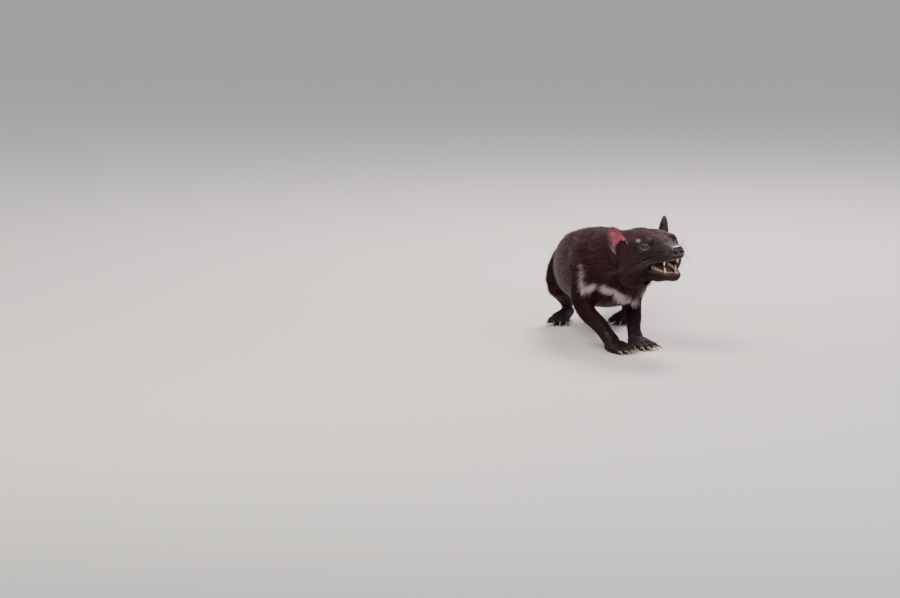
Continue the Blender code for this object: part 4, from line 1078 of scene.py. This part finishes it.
def eyeMaterial():
    # a dark wet eye: black pupil, very dark brown iris, brown-grey white of the eye
    made, tree, shader = newMaterial("eye", Roughness=0.12, Coat_Weight=0.35, Coat_Roughness=0.02)
    place = addNode(tree, "ShaderNodeTexCoord", output="Object")
    streaks = addNode(tree, "ShaderNodeTexNoise", {"Scale": 900.0, "Detail": 3.0, "Vector": place})
    iris = layered(tree, "#120906", (streaks, "#2c180f"))
    colour = layered(
        tree,
        "#020202",
        (("gaze", 0.32, 0.38), iris),
        (("gaze", 0.52, 0.60), "#120a08"),
        (("gaze", 0.62, 0.72), "#2e2220"),
    )
    dress(tree, shader, colour)
    return made


finishPiece(makeEyes(), eyeMaterial(), "eye", "eye_right", "eye_left")


def makeLidRims():
    # the bare wet margin of the lids: a closed ring round each eye's opening
    meshes = []
    for side in (-1, 1):
        centre, look, along, up = eyeBasis(side)
        radius = eyeShape["radius"] + 0.0004
        halfLong, halfTall = (h / eyeShape["radius"] for h in eyeShape["half"])
        count, sides = 64, 10
        ring = []
        for k in range(count):
            t = 2 * math.pi * k / count
            reach = 1 + 0.10 * max(0.0, math.cos(t)) ** 8 + 0.10 * max(0.0, -math.cos(t)) ** 8
            way = look + along * (halfLong * reach * math.cos(t)) + up * (halfTall * 0.97 * math.sin(t))
            ring.append(np.array(centre + way.normalized() * radius))
        ring = np.array(ring)
        ahead = np.roll(ring, -1, axis=0) - np.roll(ring, 1, axis=0)
        ahead /= np.linalg.norm(ahead, axis=1)[:, None]
        out = unit(ring - np.array(centre))
        flank = np.cross(ahead, out)
        thick = 0.00085 + 0.00035 * np.clip((ring - np.array(centre)) @ np.array(up) / 0.004, -0.3, 1)
        points = []
        for j in range(sides):
            a = 2 * math.pi * j / sides
            points.append(ring + thick[:, None] * (out * math.cos(a) * 0.8 + flank * math.sin(a)))
        points = np.stack(points, axis=1).reshape(-1, 3)
        faces = []
        for k in range(count):
            for j in range(sides):
                a, b = k * sides + j, k * sides + (j + 1) % sides
                c, d = ((k + 1) % count) * sides + (j + 1) % sides, ((k + 1) % count) * sides + j
                faces.append((a, b, c, d))
        meshes.append(moved((points, faces), headFrame))
    rims = makeObject("lidRims", joined(meshes))
    rims.data.shade_smooth()
    return rims


def wetSkinMaterial(name, dark, light, scale, roughness, coat):
    # bare moist skin: mottled between two tones, with a fine grain
    made, tree, shader = newMaterial(name, Roughness=roughness, Coat_Weight=coat, Coat_Roughness=0.12)
    place = addNode(tree, "ShaderNodeTexCoord", output="Object")
    cloud = addNode(tree, "ShaderNodeTexNoise", {"Scale": scale, "Detail": 5.0, "Vector": place})
    dress(tree, shader, layered(tree, dark, (cloud, light)), cloud)
    return made


finishPiece(makeLidRims(), wetSkinMaterial("lidSkin", "#0d0808", "#2a1c1c", 600.0, 0.4, 0.15), "nose_skin")


# nose

noseRows = (
    (0.1190, 0, -0.0005, 0.0104, 0.0084, 0.0068),
    (0.1250, 0, -0.0008, 0.0126, 0.0102, 0.0080),
    (0.1290, 0, -0.0012, 0.0122, 0.0098, 0.0078),
    (0.1316, 0, -0.0016, 0.0096, 0.0076, 0.0062),
    (0.1326, 0, -0.0018, 0.0050, 0.0040, 0.0034),
)
nostrils = (
    ((0.1322, 0.0052, -0.0020), (0.0040, 0.0022, 0.0024), 20),
    ((0.1306, 0.0082, -0.0008), (0.0040, 0.0025, 0.0014), 38),
    ((0.1272, 0.0114, 0.0004), (0.0062, 0.0022, 0.0011), 20),
)


def makeNose():
    # the nose pad: two lobes with comma-shaped nostrils and a groove down the middle
    lobes = [tube(noseRows, 30, sides=48, power=2.4)]
    for side in (-1, 1):
        lobes.append(ball((0.1272, side * 0.0070, 0.0022), (0.0058, 0.0056, 0.0066)))
        lobes.append(ball((0.1262, side * 0.0096, -0.0034), (0.0052, 0.0040, 0.0038)))
    nose = makeObject("nosePad", moved(joined(lobes), headFrame))
    modify(nose, "REMESH", mode="VOXEL", voxel_size=0.00034)
    for centre, radii, degrees in nostrils:
        for side in (-1, 1):
            hole = ball((centre[0], side * centre[1], centre[2]), radii, turnOf(side * degrees, "X"))
            booleanWith(nose, moved(hole, headFrame), "DIFFERENCE", voxel=None)
    modify(nose, "REMESH", mode="VOXEL", voxel_size=0.00034)
    modify(nose, "SMOOTH", factor=0.5, iterations=3)
    points = vertexArray(nose)
    normals = vertexArray(nose, "normal")
    local = inFrame(points, headFrame)
    front = ramp(local[:, 0], 0.124, 0.129)
    groove = 0.0011 * np.exp(-((local[:, 1] / 0.0007) ** 2)) * ramp(local[:, 2], 0.0045, 0.0005) * front
    bend = 0.0005 * np.exp(-(((local[:, 2] - 0.0062) / 0.0012) ** 2)) * front
    setVertices(nose, points - normals * (groove + bend)[:, None])
    nose.data.shade_smooth()
    return nose


def noseMaterial():
    # wet pebbled skin, blue-black; the pebbles are just under a millimetre
    made, tree, shader = newMaterial("nosePad", Roughness=0.36, Coat_Weight=0.3, Coat_Roughness=0.12)
    place = addNode(tree, "ShaderNodeTexCoord", output="Object")
    pebbles = addNode(tree, "ShaderNodeTexVoronoi", {"Scale": 1150.0, "Vector": place}, "Distance")
    cloud = addNode(tree, "ShaderNodeTexNoise", {"Scale": 160.0, "Vector": place})
    tone = layered(tree, "#0b0a0c", (cloud, "#1d1a1f"))
    dress(tree, shader, tone, pebbles, strength=0.45, distance=0.0003, invert=True)
    return made


finishPiece(makeNose(), noseMaterial(), "nose_skin", "nose")


# mouth

# one side's teeth: place along the arch, length, half width along and across, kind
teethRows = {
    "upper": (
        (0.05, 0.0045, 0.0012, 0.0012, "peg"),
        (0.12, 0.0048, 0.0013, 0.0012, "peg"),
        (0.19, 0.0048, 0.0013, 0.0012, "peg"),
        (0.26, 0.0050, 0.0014, 0.0013, "peg"),
        (0.37, 0.0125, 0.0028, 0.0024, "fang"),
        (0.49, 0.0050, 0.0024, 0.0018, "shear"),
        (0.58, 0.0058, 0.0028, 0.0020, "shear"),
        (0.69, 0.0070, 0.0035, 0.0026, "shear"),
        (0.81, 0.0075, 0.0037, 0.0030, "shear"),
        (0.93, 0.0070, 0.0035, 0.0030, "shear"),
    ),
    "lower": (
        (0.06, 0.0042, 0.0012, 0.0011, "peg"),
        (0.14, 0.0044, 0.0012, 0.0012, "peg"),
        (0.22, 0.0044, 0.0012, 0.0012, "peg"),
        (0.33, 0.0115, 0.0026, 0.0023, "fang"),
        (0.46, 0.0048, 0.0024, 0.0018, "shear"),
        (0.56, 0.0055, 0.0028, 0.0020, "shear"),
        (0.67, 0.0068, 0.0035, 0.0024, "shear"),
        (0.80, 0.0072, 0.0037, 0.0026, "shear"),
        (0.93, 0.0068, 0.0035, 0.0026, "shear"),
    ),
}


def cusp(foot, outward, length, along, across, axis, hook, blunt):
    # one point of a tooth: a rounded cone, sunk in the gum, that may hook back
    foot, outward = np.array(foot), np.array(outward)
    forward = np.array([outward[1], -outward[0], 0.0])
    if forward[0] < 0:
        forward = -forward
    shares = np.array([-0.35, 0.0, 0.2, 0.4, 0.6, 0.78, 0.9, 0.97, 1.0])
    widths = np.array([0.85, 1.0, 0.97, 0.86, 0.68, 0.46, 0.30 + 0.2 * blunt, 0.16 + 0.2 * blunt, 0.03])
    sides = 12
    points = []
    for share, width in zip(shares, widths):
        middle = foot + np.array([0.0, 0.0, axis * length * share])
        middle = middle - forward * hook * length * max(share, 0.0) ** 2
        for j in range(sides):
            a = 2 * math.pi * j / sides
            points.append(
                middle + forward * along * width * math.cos(a) + outward * across * width * math.sin(a)
            )
    faces = [tuple(range(sides)), tuple(range(sides * 8, sides * 9))]
    for k in range(8):
        for j in range(sides):
            n = (j + 1) % sides
            faces.append((k * sides + j, k * sides + n, (k + 1) * sides + n, (k + 1) * sides + j))
    return np.array(points), faces


def toothCusps(at, run, outward, length, along, across, kind, axis):
    if kind == "fang":
        return [cusp(at, outward, length, along, across, axis, 0.16, 0.2)]
    if kind == "peg":
        return [cusp(at, outward, length, along, across, axis, 0.08, 1.0)]
    out = [cusp(at, outward, length, along * 0.72, across, axis, 0.06, 0.35)]
    for shift, size in ((-0.62, 0.62), (0.62, 0.50)):
        foot = at + run * along * shift
        out.append(cusp(foot, outward, length * size, along * 0.55, across * 0.85, axis, 0.0, 0.6))
    return out


def makeTeeth():
    meshes = []
    for arch, height, rows, axis, place in (
        (tables["upperArch"], -0.0110, teethRows["upper"], -1, headFrame),
        (tables["lowerArch"], -0.0020, teethRows["lower"], 1, jawFrame),
    ):
        line = through([(x, y, height) for x, y in reversed(arch[:-1])], 90)
        line = np.concatenate([[(line[0][0] + 0.0010, 0.0, height)], line])
        reach = np.concatenate([[0], np.cumsum(np.linalg.norm(np.diff(line, axis=0), axis=1))])
        for spot, length, along, across, kind in rows:
            at, ahead = (
                np.array([np.interp(spot * reach[-1] + d, reach, line[:, k]) for k in range(3)])
                for d in (0.0, 0.001)
            )
            run = (ahead - at) / np.linalg.norm(ahead - at)
            outward = (-run[1], run[0], 0.0) if run[0] > 0 else (run[1], -run[0], 0.0)
            for part in toothCusps(at, run, outward, length, along, across, kind, axis):
                meshes += [moved(part, place), moved(mirrored(part), place)]
    teeth = makeObject("teeth", joined(meshes))
    teeth.data.shade_smooth()
    return teeth


def toothMaterial():
    # worn enamel: ivory, yellower and browner in patches
    made, tree, shader = newMaterial("enamel", Roughness=0.22, Coat_Weight=0.4, Coat_Roughness=0.08)
    place = addNode(tree, "ShaderNodeTexCoord", output="Object")
    cloud = addNode(tree, "ShaderNodeTexNoise", {"Scale": 260.0, "Detail": 4.0, "Vector": place})
    dress(tree, shader, layered(tree, "#e6dcc4", ((cloud, 0.35, 0.7), "#b79b6e")))
    return made


teeth = makeTeeth()
finishPiece(teeth, toothMaterial(), "claw_horn")


def makeTongue():
    rows = (
        (0.026, 0, -0.0068, 0.0105, 0.0048, 0.0034),
        (0.042, 0, -0.0052, 0.0128, 0.0052, 0.0040),
        (0.056, 0, -0.0040, 0.0118, 0.0046, 0.0038),
        (0.068, 0, -0.0034, 0.0092, 0.0038, 0.0034),
        (0.0755, 0, -0.0028, 0.0056, 0.0026, 0.0026),
        (0.0780, 0, -0.0024, 0.0026, 0.0012, 0.0012),
    )
    points, faces = tube(rows, 60, sides=40, power=2.15)
    top = ramp(points[:, 2], -0.0045, -0.0020)
    points[:, 2] -= 0.0013 * np.exp(-((points[:, 1] / 0.0012) ** 2)) * top * ramp(points[:, 0], 0.078, 0.066)
    points[:, 2] += 0.0005 * np.sin(points[:, 0] * 520) * top * 0.4
    tongue = makeObject("tongueFlesh", moved((points, faces), jawFrame))
    tongue.data.shade_smooth()
    return tongue


finishPiece(
    makeTongue(), wetSkinMaterial("tongueFlesh", "#8f3f46", "#c27478", 700.0, 0.3, 0.35), "tongue", "tongue"
)


# claws


def makeClaws():
    names = [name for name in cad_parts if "claw" in name]
    claws = makeObject("claws", joined([nodeMesh(name)[::2] for name in names]))
    modify(claws, "SUBSURF", levels=2, render_levels=2)
    points, normals = vertexArray(claws), vertexArray(claws, "normal")
    setVertices(claws, points + normals * 0.0001)
    onFloor(claws)
    claws.data.shade_smooth()
    return claws, names


def clawMaterial():
    # worn horn: pale towards the tip, brown at the root, mottled
    made, tree, shader = newMaterial("horn", Roughness=0.35)
    place = addNode(tree, "ShaderNodeTexCoord", output="Object")
    streaks = addNode(tree, "ShaderNodeTexNoise", {"Scale": 300.0, "Detail": 5.0, "Vector": place})
    height = addNode(tree, "ShaderNodeSeparateXYZ", {"Vector": place}, "Z")
    root = (height, 0.0045, 0.0085, 0.0, 0.75)
    dress(tree, shader, layered(tree, "#6f5d4d", (streaks, "#b9a892"), (root, "#3e2f28")))
    return made


claws, clawNames = makeClaws()
finishPiece(claws, clawMaterial(), "claw_horn", *clawNames)


# whiskers


def makeWhiskers():
    # long stiff hairs: beside the nose, over the eyes, on the cheeks and under the chin
    draw = random.Random(5)
    tree = BVHTree.FromPolygons(
        [tuple(p) for p in vertexArray(skin)], [tuple(p.vertices) for p in skin.data.polygons]
    )
    hairs = []  # root, direction and droop in the head's frame, length, radius
    for root, k in whiskerBed():
        way = (-0.35 - 0.06 * k, 1.0, 0.10 + 60 * root[2])
        hairs.append((root, way, 0.026 + 0.0065 * k, 0.00021))
    for k in range(5):
        root = (0.070 + 0.004 * k, 0.023 + 0.0010 * k, 0.034 - 0.0024 * k)
        hairs.append((root, (-0.25, 0.55, 0.95), 0.030 - 0.002 * k, 0.00018))
    for k in range(7):
        root = (0.048 + 0.003 * (k % 3), 0.060, -0.016 - 0.0035 * (k // 3))
        hairs.append((root, (-0.45, 1.0, -0.25), 0.038 + 0.003 * (k % 3), 0.00019))
    for k in range(5):
        root = (0.092 - 0.006 * k, 0.006 + 0.002 * k, -0.062)
        hairs.append((root, (-0.1, 0.35, -1.0), 0.016 + 0.002 * k, 0.00016))
    meshes = []
    for root, way, length, radius in hairs:
        for side in (-1, 1):
            here = headFrame @ Vector((root[0], side * root[1], root[2]))
            place, normal, _, _ = tree.find_nearest(here)
            wobble = Vector([draw.uniform(-0.16, 0.16) for _ in range(3)])
            heading = headFrame.to_3x3() @ (Vector((way[0], side * way[1], way[2])).normalized() + wobble)
            heading = (heading.normalized() + normal * 0.35).normalized()
            droop = Vector((0, 0, -1)) + headFrame.to_3x3() @ Vector((-0.9, 0, 0))
            reach = length * draw.uniform(0.8, 1.15)
            rows = []
            for f in (0.0, 0.2, 0.4, 0.6, 0.8, 1.0):
                p = place - normal * 0.001 + heading * (reach * f) + droop * (reach * 0.16 * f * f)
                r = radius * (1 - 0.88 * f)
                rows.append((*p, r, r, r))
            meshes.append(tube(rows, 9, sides=5, power=2.0, across=(0.31, 0.12, 0.94)))
    return makeObject("whiskers", joined(meshes))


def whiskerMaterial():
    # stiff dark hair with a low shine
    made, tree, shader = newMaterial("whisker", Roughness=0.35)
    shader.inputs["Base Color"].default_value = linear("#2a211f")
    return made


finishPiece(makeWhiskers(), whiskerMaterial(), "fur")


# coat


# rings of a tuft: height, half width; its tip is at height 1
tuftShapes = (
    ((-0.05, 0.60), (0.38, 0.56)),
    ((-0.05, 0.50), (0.50, 0.60)),
    ((-0.05, 0.70), (0.30, 0.46)),
)


def tuftMesh(name, rings):
    # a flat tapered lock of unit length along z; the coat's tree widens, bends and clumps it
    points, faces, along, patch = [], [], [], []
    for z, wide in rings:
        for angle in (90, 210, 330):
            a = math.radians(angle)
            points.append((0.42 * wide * math.sin(a), wide * math.cos(a), z))
            along.append(max(z, 0.0))
            patch.append((0.5 + wide * math.cos(a), max(z, 0.0), 0.0))
    points.append((0.0, 0.0, 1.0))
    along.append(1.0)
    patch.append((0.5, 1.0, 0.0))
    faces += [(2, 1, 0)]
    for j in range(3):
        n = (j + 1) % 3
        faces += [(j, n, 3 + n), (j, 3 + n, 3 + j), (3 + j, 3 + n, 6)]
    data = bpy.data.meshes.new(name)
    data.from_pydata(points, [], faces)
    obj = bpy.data.objects.new(name, data)
    store(obj, "along", along)
    store(obj, "patch", patch, "FLOAT_VECTOR")
    data.shade_smooth()
    return obj


def tuftCollection():
    made = bpy.data.collections.new("tufts")
    for k, rings in enumerate(tuftShapes):
        made.objects.link(tuftMesh(f"tuft{k}", rings))
    return made


coatInputs = (
    ("Geometry", "NodeSocketGeometry"),
    ("Part", "NodeSocketFloat"),
    ("Spacing", "NodeSocketFloat"),
    ("Density", "NodeSocketFloat"),
    ("Lift", "NodeSocketFloat"),
    ("Width", "NodeSocketFloat"),
    ("Wave", "NodeSocketFloat"),
    ("Clump", "NodeSocketFloat"),  # clumps per metre
    ("Gather", "NodeSocketFloat"),  # how far the tips lean to the clump's middle
    ("Seed", "NodeSocketInt"),
)
coatReads = {
    "FLOAT": ("part", "thick", "long", "along"),
    "FLOAT_VECTOR": ("OFBake", "lie", "bow", "root", "patch"),
}
patchSize = 0.003  # of each tuft on the unwrapped skin


def coatTree(tufts, material):
    tree = bpy.data.node_groups.new("coat", "GeometryNodeTree")
    for name, kind in coatInputs:
        tree.interface.new_socket(name, in_out="INPUT", socket_type=kind)
    tree.interface.new_socket("Geometry", in_out="OUTPUT", socket_type="NodeSocketGeometry")
    given = addNode(tree, "NodeGroupInput").node.outputs
    numbers, vectors = "ShaderNodeMath", "ShaderNodeVectorMath"
    read = {}
    for kind, names in coatReads.items():
        for name in names:
            read[name] = addNode(tree, "GeometryNodeInputNamedAttribute", {"Name": name}, data_type=kind)

    def chance(low, high, offset):
        # a random number for each tuft, with a seed of its own
        seed = addNode(tree, numbers, {0: given["Seed"], 1: offset}, operation="ADD")
        return addNode(tree, "FunctionNodeRandomValue", {2: low, 3: high, 8: seed}, 1, data_type="FLOAT")

    here = addNode(tree, numbers, {0: read["part"], 1: given["Part"], 2: 0.5}, operation="COMPARE")
    roots = addNode(
        tree,
        "GeometryNodeDistributePointsOnFaces",
        {
            "Mesh": given["Geometry"],
            "Selection": here,
            "Distance Min": given["Spacing"],
            "Density Max": given["Density"],
            "Density Factor": read["thick"],
            "Seed": given["Seed"],
        },
        distribute_method="POISSON",
    )
    normal = roots.node.outputs["Normal"]

    # which way each tuft points: its lie, swayed by a slow and a quick noise, lifted off the skin
    place = addNode(tree, "GeometryNodeInputPosition")
    lie = read["lie"]
    for scale, share in ((38.0, 1.0), (190.0, 1.3)):
        inputs = {"Scale": scale, "Detail": 1.0, "Vector": place}
        noise = addNode(tree, "ShaderNodeTexNoise", inputs, "Color")
        centred = addNode(tree, vectors, {0: noise, 1: (-0.5, -0.5, -0.5)}, operation="ADD")
        amount = addNode(tree, numbers, {0: given["Wave"], 1: share}, operation="MULTIPLY")
        sway = addNode(tree, vectors, {0: centred, "Scale": amount}, operation="SCALE")
        lie = addNode(tree, vectors, {0: lie, 1: sway}, operation="ADD")

    def flattened(way):
        # the part of a direction that runs along the skin
        rise = addNode(tree, vectors, {0: way, 1: normal}, "Value", operation="DOT_PRODUCT")
        upward = addNode(tree, vectors, {0: normal, "Scale": rise}, operation="SCALE")
        return addNode(tree, vectors, {0: way, 1: upward}, operation="SUBTRACT")

    flat = addNode(tree, vectors, {0: flattened(lie)}, operation="NORMALIZE")
    lift = addNode(tree, numbers, {0: given["Lift"], 1: chance(0.5, 1.5, 2)}, operation="MULTIPLY")
    lifted = addNode(tree, vectors, {0: normal, "Scale": lift}, operation="SCALE")
    raised = addNode(tree, vectors, {0: flat, 1: lifted}, operation="ADD")
    inputs = {"Primary Axis": raised, "Secondary Axis": normal}
    turn = addNode(tree, "FunctionNodeAxesToRotation", inputs, primary_axis="Z", secondary_axis="X")
    length = addNode(tree, numbers, {0: read["long"], 1: chance(0.66, 1.28, 3)}, operation="MULTIPLY")
    width = addNode(tree, numbers, {0: given["Width"], 1: chance(0.70, 1.25, 4)}, operation="MULTIPLY")
    size = addNode(tree, "ShaderNodeCombineXYZ", {"X": width, "Y": width, "Z": length})

    # how far each tip bows back to the skin, to one side and to the middle of its clump
    clumps = addNode(tree, "ShaderNodeTexVoronoi", {"Vector": place, "Scale": given["Clump"]}, "Position")
    sunk = addNode(tree, numbers, {0: lift, 1: chance(-0.75, -0.25, 5)}, operation="MULTIPLY")
    down = addNode(tree, vectors, {0: normal, "Scale": sunk}, operation="SCALE")
    side = addNode(tree, vectors, {0: normal, 1: flat}, operation="CROSS_PRODUCT")
    aside = addNode(tree, vectors, {0: side, "Scale": chance(-0.16, 0.16, 6)}, operation="SCALE")
    bow = addNode(tree, vectors, {0: down, 1: aside}, operation="ADD")
    bow = addNode(tree, vectors, {0: bow, "Scale": length}, operation="SCALE")
    toClump = flattened(addNode(tree, vectors, {0: clumps, 1: place}, operation="SUBTRACT"))
    gathered = addNode(tree, vectors, {0: toClump, "Scale": given["Gather"]}, operation="SCALE")
    bow = addNode(tree, vectors, {0: bow, 1: gathered}, operation="ADD")

    # each tuft's tone: some of it its own, some of it its clump's
    own = addNode(tree, numbers, {0: chance(0.0, 1.0, 1), 1: 0.65}, operation="MULTIPLY")
    hue = addNode(tree, "ShaderNodeSeparateXYZ", {"Vector": clumps.node.outputs["Color"]})
    common = addNode(tree, numbers, {0: hue, 1: 0.35}, operation="MULTIPLY")
    shade = addNode(tree, numbers, {0: own, 1: common}, operation="ADD")

    points = roots
    stored = (
        ("root", read["OFBake"], "FLOAT_VECTOR"),
        ("shade", shade, "FLOAT"),
        ("bow", bow, "FLOAT_VECTOR"),
    )
    for name, value, kind in stored:
        inputs = {"Name": name, "Geometry": points, "Value": value}
        points = addNode(tree, "GeometryNodeStoreNamedAttribute", inputs, data_type=kind, domain="POINT")
    inputs = {"Collection": tufts, "Separate Children": True, "Reset Children": True}
    shapes = addNode(tree, "GeometryNodeCollectionInfo", inputs)
    inputs = {4: 0, 5: len(tuftShapes) - 1, 8: given["Seed"]}
    pick = addNode(tree, "FunctionNodeRandomValue", inputs, 2, data_type="INT")
    inputs = {
        "Pick Instance": True,
        "Points": points,
        "Instance": shapes,
        "Instance Index": pick,
        "Rotation": turn,
        "Scale": size,
    }
    placed = addNode(tree, "GeometryNodeInstanceOnPoints", inputs)
    solid = addNode(tree, "GeometryNodeRealizeInstances", {"Geometry": placed})
    far = addNode(tree, numbers, {0: read["along"], 1: 2.0}, operation="POWER")
    offset = addNode(tree, vectors, {0: read["bow"], "Scale": far}, operation="SCALE")
    bent = addNode(tree, "GeometryNodeSetPosition", {"Geometry": solid, "Offset": offset})
    corner = addNode(tree, vectors, {0: read["patch"], 1: (-0.5, -0.5, 0.0)}, operation="ADD")
    small = addNode(tree, vectors, {0: corner, "Scale": patchSize}, operation="SCALE")
    spot = addNode(tree, vectors, {0: read["root"], 1: small}, operation="ADD")
    inputs = {"Name": "OFBake", "Geometry": bent, "Value": spot}
    mapped = addNode(tree, "GeometryNodeStoreNamedAttribute", inputs, data_type="FLOAT2", domain="CORNER")
    done = addNode(tree, "GeometryNodeSetMaterial", {"Material": material, "Geometry": mapped})
    addNode(tree, "NodeGroupOutput", {0: done})
    return tree


def growCoat(name, source, tree, settings):
    # runs the coat tree on a copy of the source and keeps the result as a plain mesh
    carrier = source.copy()
    carrier.data = source.data.copy()
    scene.collection.objects.link(carrier)
    modifier = carrier.modifiers.new("coat", "NODES")
    modifier.node_group = tree
    for socket in tree.interface.items_tree:
        if socket.in_out == "INPUT" and socket.name in settings:
            modifier[socket.identifier] = settings[socket.name]
    graph = bpy.context.evaluated_depsgraph_get()
    data = bpy.data.meshes.new_from_object(carrier.evaluated_get(graph))
    remove(carrier)
    data.materials.clear()
    data.materials.append(materials["fur"])
    made = bpy.data.objects.new(name, data)
    data.name = name
    scene.collection.objects.link(made)
    onFloor(made)
    kept = ("position", "OFBake", "along", "shade", "band", "crown")
    for spare in [a.name for a in data.attributes if a.name not in kept and not a.name.startswith(".")]:
        if not data.attributes[spare].is_required:
            data.attributes.remove(data.attributes[spare])
    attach(made, "root")
    print(name, len(data.polygons), "faces")
    return made


# spacing and width in metres, density per square metre
trunkCoat = {
    "Spacing": 0.00108, "Density": 1.0e6, "Lift": 0.44, "Width": 0.00072,
    "Wave": 0.5, "Clump": 105.0, "Gather": 0.55,
}
coatPieces = {
    "faceCoat": {
        "Part": 0.0, "Spacing": 0.00070, "Density": 2.2e6, "Lift": 0.30, "Width": 0.00034, "Wave": 0.35,
        "Clump": 420.0, "Gather": 0.35,
    },
    "headCoat": {
        "Part": 1.0, "Spacing": 0.00085, "Density": 1.6e6, "Lift": 0.36, "Width": 0.00046, "Wave": 0.42,
        "Clump": 230.0, "Gather": 0.45,
    },
    "neckCoat": {**trunkCoat, "Part": 2.0, "Spacing": 0.00098},
    "chestCoat": {**trunkCoat, "Part": 3.0},
    "sideCoat": {**trunkCoat, "Part": 4.0},
    "bellyCoat": {**trunkCoat, "Part": 5.0},
    "rumpCoat": {**trunkCoat, "Part": 6.0},
    "legCoat": {
        "Part": 7.0, "Spacing": 0.00098, "Density": 1.2e6, "Lift": 0.34, "Width": 0.00055, "Wave": 0.4,
        "Clump": 170.0, "Gather": 0.45,
    },
    "footCoat": {
        "Part": 8.0, "Spacing": 0.00080, "Density": 1.7e6, "Lift": 0.24, "Width": 0.00038, "Wave": 0.3,
        "Clump": 300.0, "Gather": 0.35,
    },
    "earCoat": {
        "Part": 10.0, "Spacing": 0.00070, "Density": 2.0e6, "Lift": 0.24, "Width": 0.00030, "Wave": 0.3,
        "Clump": 400.0, "Gather": 0.3,
    },
    "tailCoat": {
        "Part": 9.0, "Spacing": 0.00092, "Density": 1.4e6, "Lift": 0.46, "Width": 0.00070, "Wave": 0.45,
        "Clump": 150.0, "Gather": 0.45,
    },
}

coatGroup = coatTree(tuftCollection(), materials["fur"])
for seed, (name, settings) in enumerate(coatPieces.items()):
    source = ears if name == "earCoat" else skin
    growCoat(name, source, coatGroup, {**settings, "Seed": seed + 3})


# stage, lights and camera

floorMesh = bpy.data.meshes.new("floor")
floorMesh.from_pydata([(-30, -30, 0), (30, -30, 0), (30, 30, 0), (-30, 30, 0)], [], [(0, 1, 2, 3)])
floor = bpy.data.objects.new("floor", floorMesh)
scene.collection.objects.link(floor)
floorMaterial, _, floorShader = newMaterial("floor", Roughness=0.85)
floorShader.inputs["Base Color"].default_value = linear("#dad7d2")
floorMesh.materials.append(floorMaterial)


def areaLight(name, place, target, size, energy, colour):
    data = bpy.data.lights.new(name, "AREA")
    data.shape = "DISK"
    data.size = size
    data.energy = energy
    data.color = linear(colour)[:3]
    lamp = bpy.data.objects.new(name, data)
    lamp.location = place
    lamp.rotation_mode = "QUATERNION"
    lamp.rotation_quaternion = (Vector(target) - Vector(place)).to_track_quat("-Z", "Y")
    scene.collection.objects.link(lamp)


# place, target, size, energy and colour
lamps = {
    "key": ((0.6, -1.6, 2.0), (0.1, -0.05, 0.1), 1.2, 50, "#fff4e8"),
    "fill": ((2.4, 0.4, 1.0), (0.1, -0.05, 0.1), 1.6, 18, "#e8eeff"),
    "rim": ((-1.0, 1.0, 2.0), (0.0, 0.0, 0.12), 1.0, 70, "#fff2f2"),
}
for name, values in lamps.items():
    areaLight(name, *values)

world = bpy.data.worlds.new("studio")
scene.world = world
world.use_nodes = True
world.node_tree.nodes["Background"].inputs[0].default_value = linear("#d6dade")
world.node_tree.nodes["Background"].inputs[1].default_value = 0.82

cameraShape = {
    "azimuth": 60.0,
    "elevation": 8.0,
    "lens": 200.0,
    "distance": 8.61,
    "held": (0.115, 0.005, 0.0755),  # the point that is held at a place in the picture
    "heldAt": (627, 306),  # that place, in pixels
    "picture": (900, 598),
}


def makeCamera():
    data = bpy.data.cameras.new("camera")
    camera = bpy.data.objects.new("camera", data)
    scene.collection.objects.link(camera)
    a, e = math.radians(cameraShape["azimuth"]), math.radians(cameraShape["elevation"])
    back = Vector((math.sin(a) * math.cos(e), -math.cos(a) * math.cos(e), math.sin(e)))
    right = Vector((math.cos(a), math.sin(a), 0))
    up = back.cross(right)
    width, height = cameraShape["picture"]
    x, y = cameraShape["heldAt"]
    pixel = cameraShape["distance"] / (cameraShape["lens"] / data.sensor_width * width)
    held = Vector(cameraShape["held"]) + Vector(pose["shift"])
    target = held - right * ((x - width / 2) * pixel) - up * ((height / 2 - y) * pixel)
    data.lens = cameraShape["lens"]
    camera.location = target + back * cameraShape["distance"]
    camera.rotation_mode = "QUATERNION"
    camera.rotation_quaternion = (-back).to_track_quat("-Z", "Y")
    scene.camera = camera


makeCamera()

print("finished")
